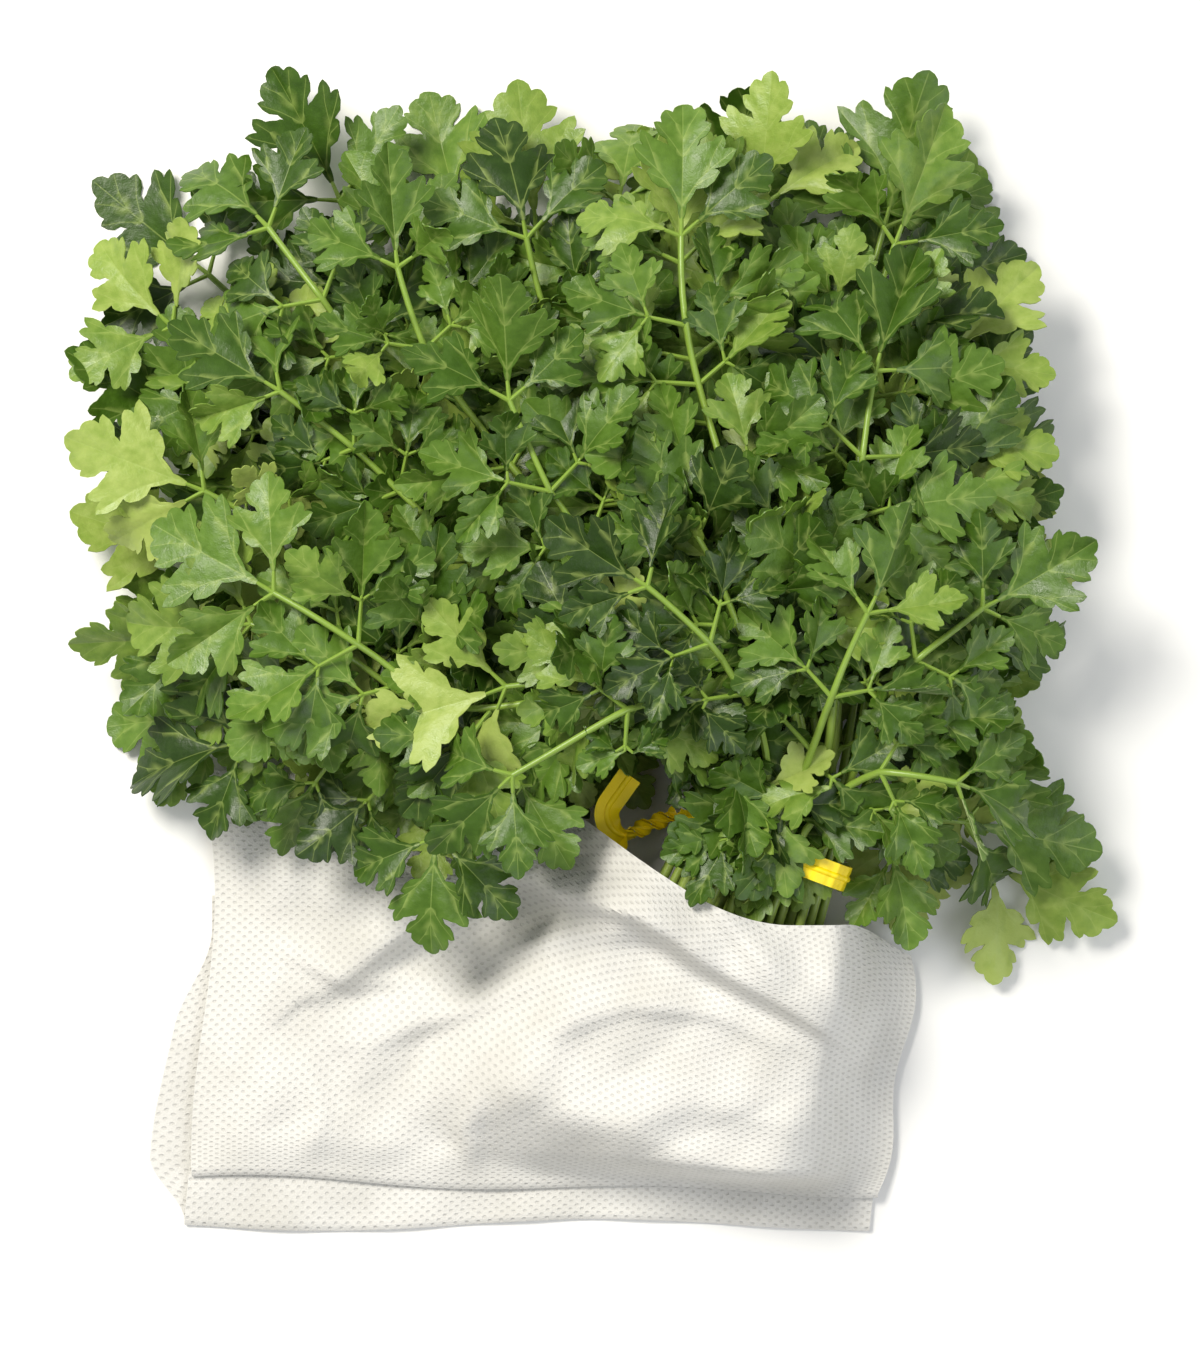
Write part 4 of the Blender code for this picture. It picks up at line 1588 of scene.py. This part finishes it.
    def _lower_ply(self, end: Point, us: Point, x: Point) -> list[Point]:
        """The ply beneath the stems, which comes out at the left.

        Args:
            end: the hem's last row.
            us: share of the width of each column, 0 at the left.
            x: place across of each column.

        Returns:
            Rows of (x, y, z) from the hem to the lower ply's own end.
        """
        rows = [np.column_stack([end[:, 0], end[:, 1] - 0.7, end[:, 2] - 0.55])]
        top = np.minimum(self.mouth(x) - 10.0, self.lower_top)
        for share in np.linspace(0.0, 1.0, 60):
            y = end[:, 1] + (top - end[:, 1]) * share
            bulge = -9.0 * smooth(0.0, 0.2, share) * (1.0 - smooth(0.15, 0.85, share))
            out = bulge + 7.0 * smooth(0.6, 0.9, share)
            spread = out * (1.0 - us / 0.15).clip(0.0, 1.0)
            rows.append(np.column_stack([end[:, 0] + spread, y, np.full(len(x), self.low)]))
        return rows

    def make(self, material: Material) -> Object:
        """Makes the towel's piece from its middle surface, with both faces and a rim.

        Args:
            material: the paper's finish.

        Returns:
            The finished object.
        """
        grid, flat = self.middle()
        rows, columns = grid.shape[:2]
        du = np.gradient(grid, axis=1)
        dv = np.gradient(grid, axis=0)
        normal = np.cross(dv, du)
        normal /= np.linalg.norm(normal, axis=2)[..., None] + 1e-9
        face = (grid + normal * TOWEL_GAUGE / 2).reshape(-1, 3)
        back = (grid - normal * TOWEL_GAUGE / 2).reshape(-1, 3)
        points = np.vstack([face, back])
        points[:, 2] = np.maximum(points[:, 2], 0.05)
        i, j = np.meshgrid(np.arange(rows - 1), np.arange(columns - 1), indexing="ij")
        a, b = i * columns + j, i * columns + j + 1
        c, d = b + columns, a + columns
        top = np.concatenate([np.stack(corners, -1).reshape(-1, 3) for corners in ((a, d, c), (a, c, b))])
        self.flat = (float(np.ptp(flat[..., 0])) * MM, float(flat[..., 1].max()) * MM)
        log.info("paper towel: %.0f x %.0f mm flat", *(side / MM for side in self.flat))
        draft = MeshDraft("paper_towel_sheet")
        draft.add(points, thin_body(top, open_edges(top), rows * columns), 0)
        obj = draft.build([material], 60.0)
        place = np.tile(flat.reshape(-1, 2), (2, 1))
        layer = obj.data.uv_layers.new(name="sheet")
        corner = np.zeros(len(obj.data.loops), np.int32)
        obj.data.loops.foreach_get("vertex_index", corner)
        layer.data.foreach_set("uv", place[corner].astype(np.float32).ravel())
        return obj


# --- The studio ---------------------------------------------------------------------------------------
@dataclass
class Studio:
    """A pale floor, soft lights and a camera that looks straight down. Its lengths are in metres."""

    view_tall: float = 0.33775  # what the camera takes in, along the bunch
    centre: tuple = (0.0019, -0.0071)
    distance: float = 1.53
    focus: float = 1.5  # from the camera to the middle of the heap
    floor_half: float = 3.0
    surroundings: float = 0.46

    def build(self) -> None:
        """Adds the floor, lights, surroundings and camera."""
        self._floor()
        self._light("key", (-0.55, 0.55, 1.05), 0.55, 20.0, "#fffaf0")
        self._light("fill", (0.75, -0.35, 0.95), 0.9, 4.5, "#f3f7ff")
        world = bpy.data.worlds.new("studio")
        world.use_nodes = True
        back = world.node_tree.nodes["Background"]
        back.inputs["Color"].default_value = srgb("#ffffff")
        back.inputs["Strength"].default_value = self.surroundings
        bpy.context.scene.world = world
        self._camera()
        bpy.context.scene.view_settings.view_transform = "Standard"

    def _floor(self) -> None:
        """Adds the floor, which is no piece of the bunch."""
        mesh = bpy.data.meshes.new("floor")
        far = self.floor_half
        corners = [(-far, -far, 0.0), (far, -far, 0.0), (far, far, 0.0), (-far, far, 0.0)]
        mesh.from_pydata(corners, [], [(0, 1, 2, 3)])
        mesh.materials.append(FloorPaint().make())
        floor = bpy.data.objects.new("floor", mesh)
        bpy.context.scene.collection.objects.link(floor)

    @staticmethod
    def _light(name: str, place: tuple, size: float, power: float, colour: str) -> None:
        """Adds a round soft light that faces the middle.

        Args:
            name: what it is called.
            place: where it hangs.
            size: its diameter.
            power: in watts.
            colour: its hex colour.
        """
        lamp = bpy.data.lights.new(name, "AREA")
        lamp.shape = "DISK"
        lamp.size = size
        lamp.energy = power
        lamp.color = srgb(colour)[:3]
        obj = bpy.data.objects.new(name, lamp)
        obj.location = place
        obj.rotation_euler = (-Vector(place)).to_track_quat("-Z", "Y").to_euler()
        bpy.context.scene.collection.objects.link(obj)

    def _camera(self) -> None:
        """Adds the camera over the bunch."""
        data = bpy.data.cameras.new("camera")
        data.sensor_fit = "VERTICAL"
        data.sensor_height = 36.0
        data.lens = data.sensor_height * self.focus / self.view_tall
        camera = bpy.data.objects.new("camera", data)
        camera.location = (*self.centre, self.distance)
        bpy.context.scene.collection.objects.link(camera)
        bpy.context.scene.camera = camera


def place(piece: Object, node: str, slot: Slot) -> None:
    """Ties a piece to the frame, in place of one of its nodes.

    Args:
        piece: the visible object.
        node: the node that it stands for.
        slot: the material slot that it would fill; not used.
    """
    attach(piece, "root")
    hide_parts(node)


def main() -> None:
    """Builds the bunch, its tie, its towel and the studio."""
    logging.basicConfig(level=logging.INFO, format="%(name)s: %(message)s")
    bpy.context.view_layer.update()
    patterns = [LeafPattern(seed) for seed in range(PATTERNS)]
    log.info("leaf patterns: %d, with %s triangles", len(patterns), [len(p.faces) for p in patterns])
    leaf = [LeafTop().make(), LeafUnder().make(), StemSkin().make()]
    layout = random.Random(SEED)
    for plan in Bunch(ROWS).plans():
        place(Sprig(plan, patterns, layout).grow(leaf), plan.node, Slot.LEAF)
    place(TwistTie().make(RibbonSkin().make()), "twist_tie", Slot.TIE)
    paper_towel = PaperTowel()
    towel = paper_towel.make(TowelPaper().make())
    place(towel, "paper_towel", Slot.TOWEL)
    Studio().build()
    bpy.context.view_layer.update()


if __name__ == "__main__":
    main()
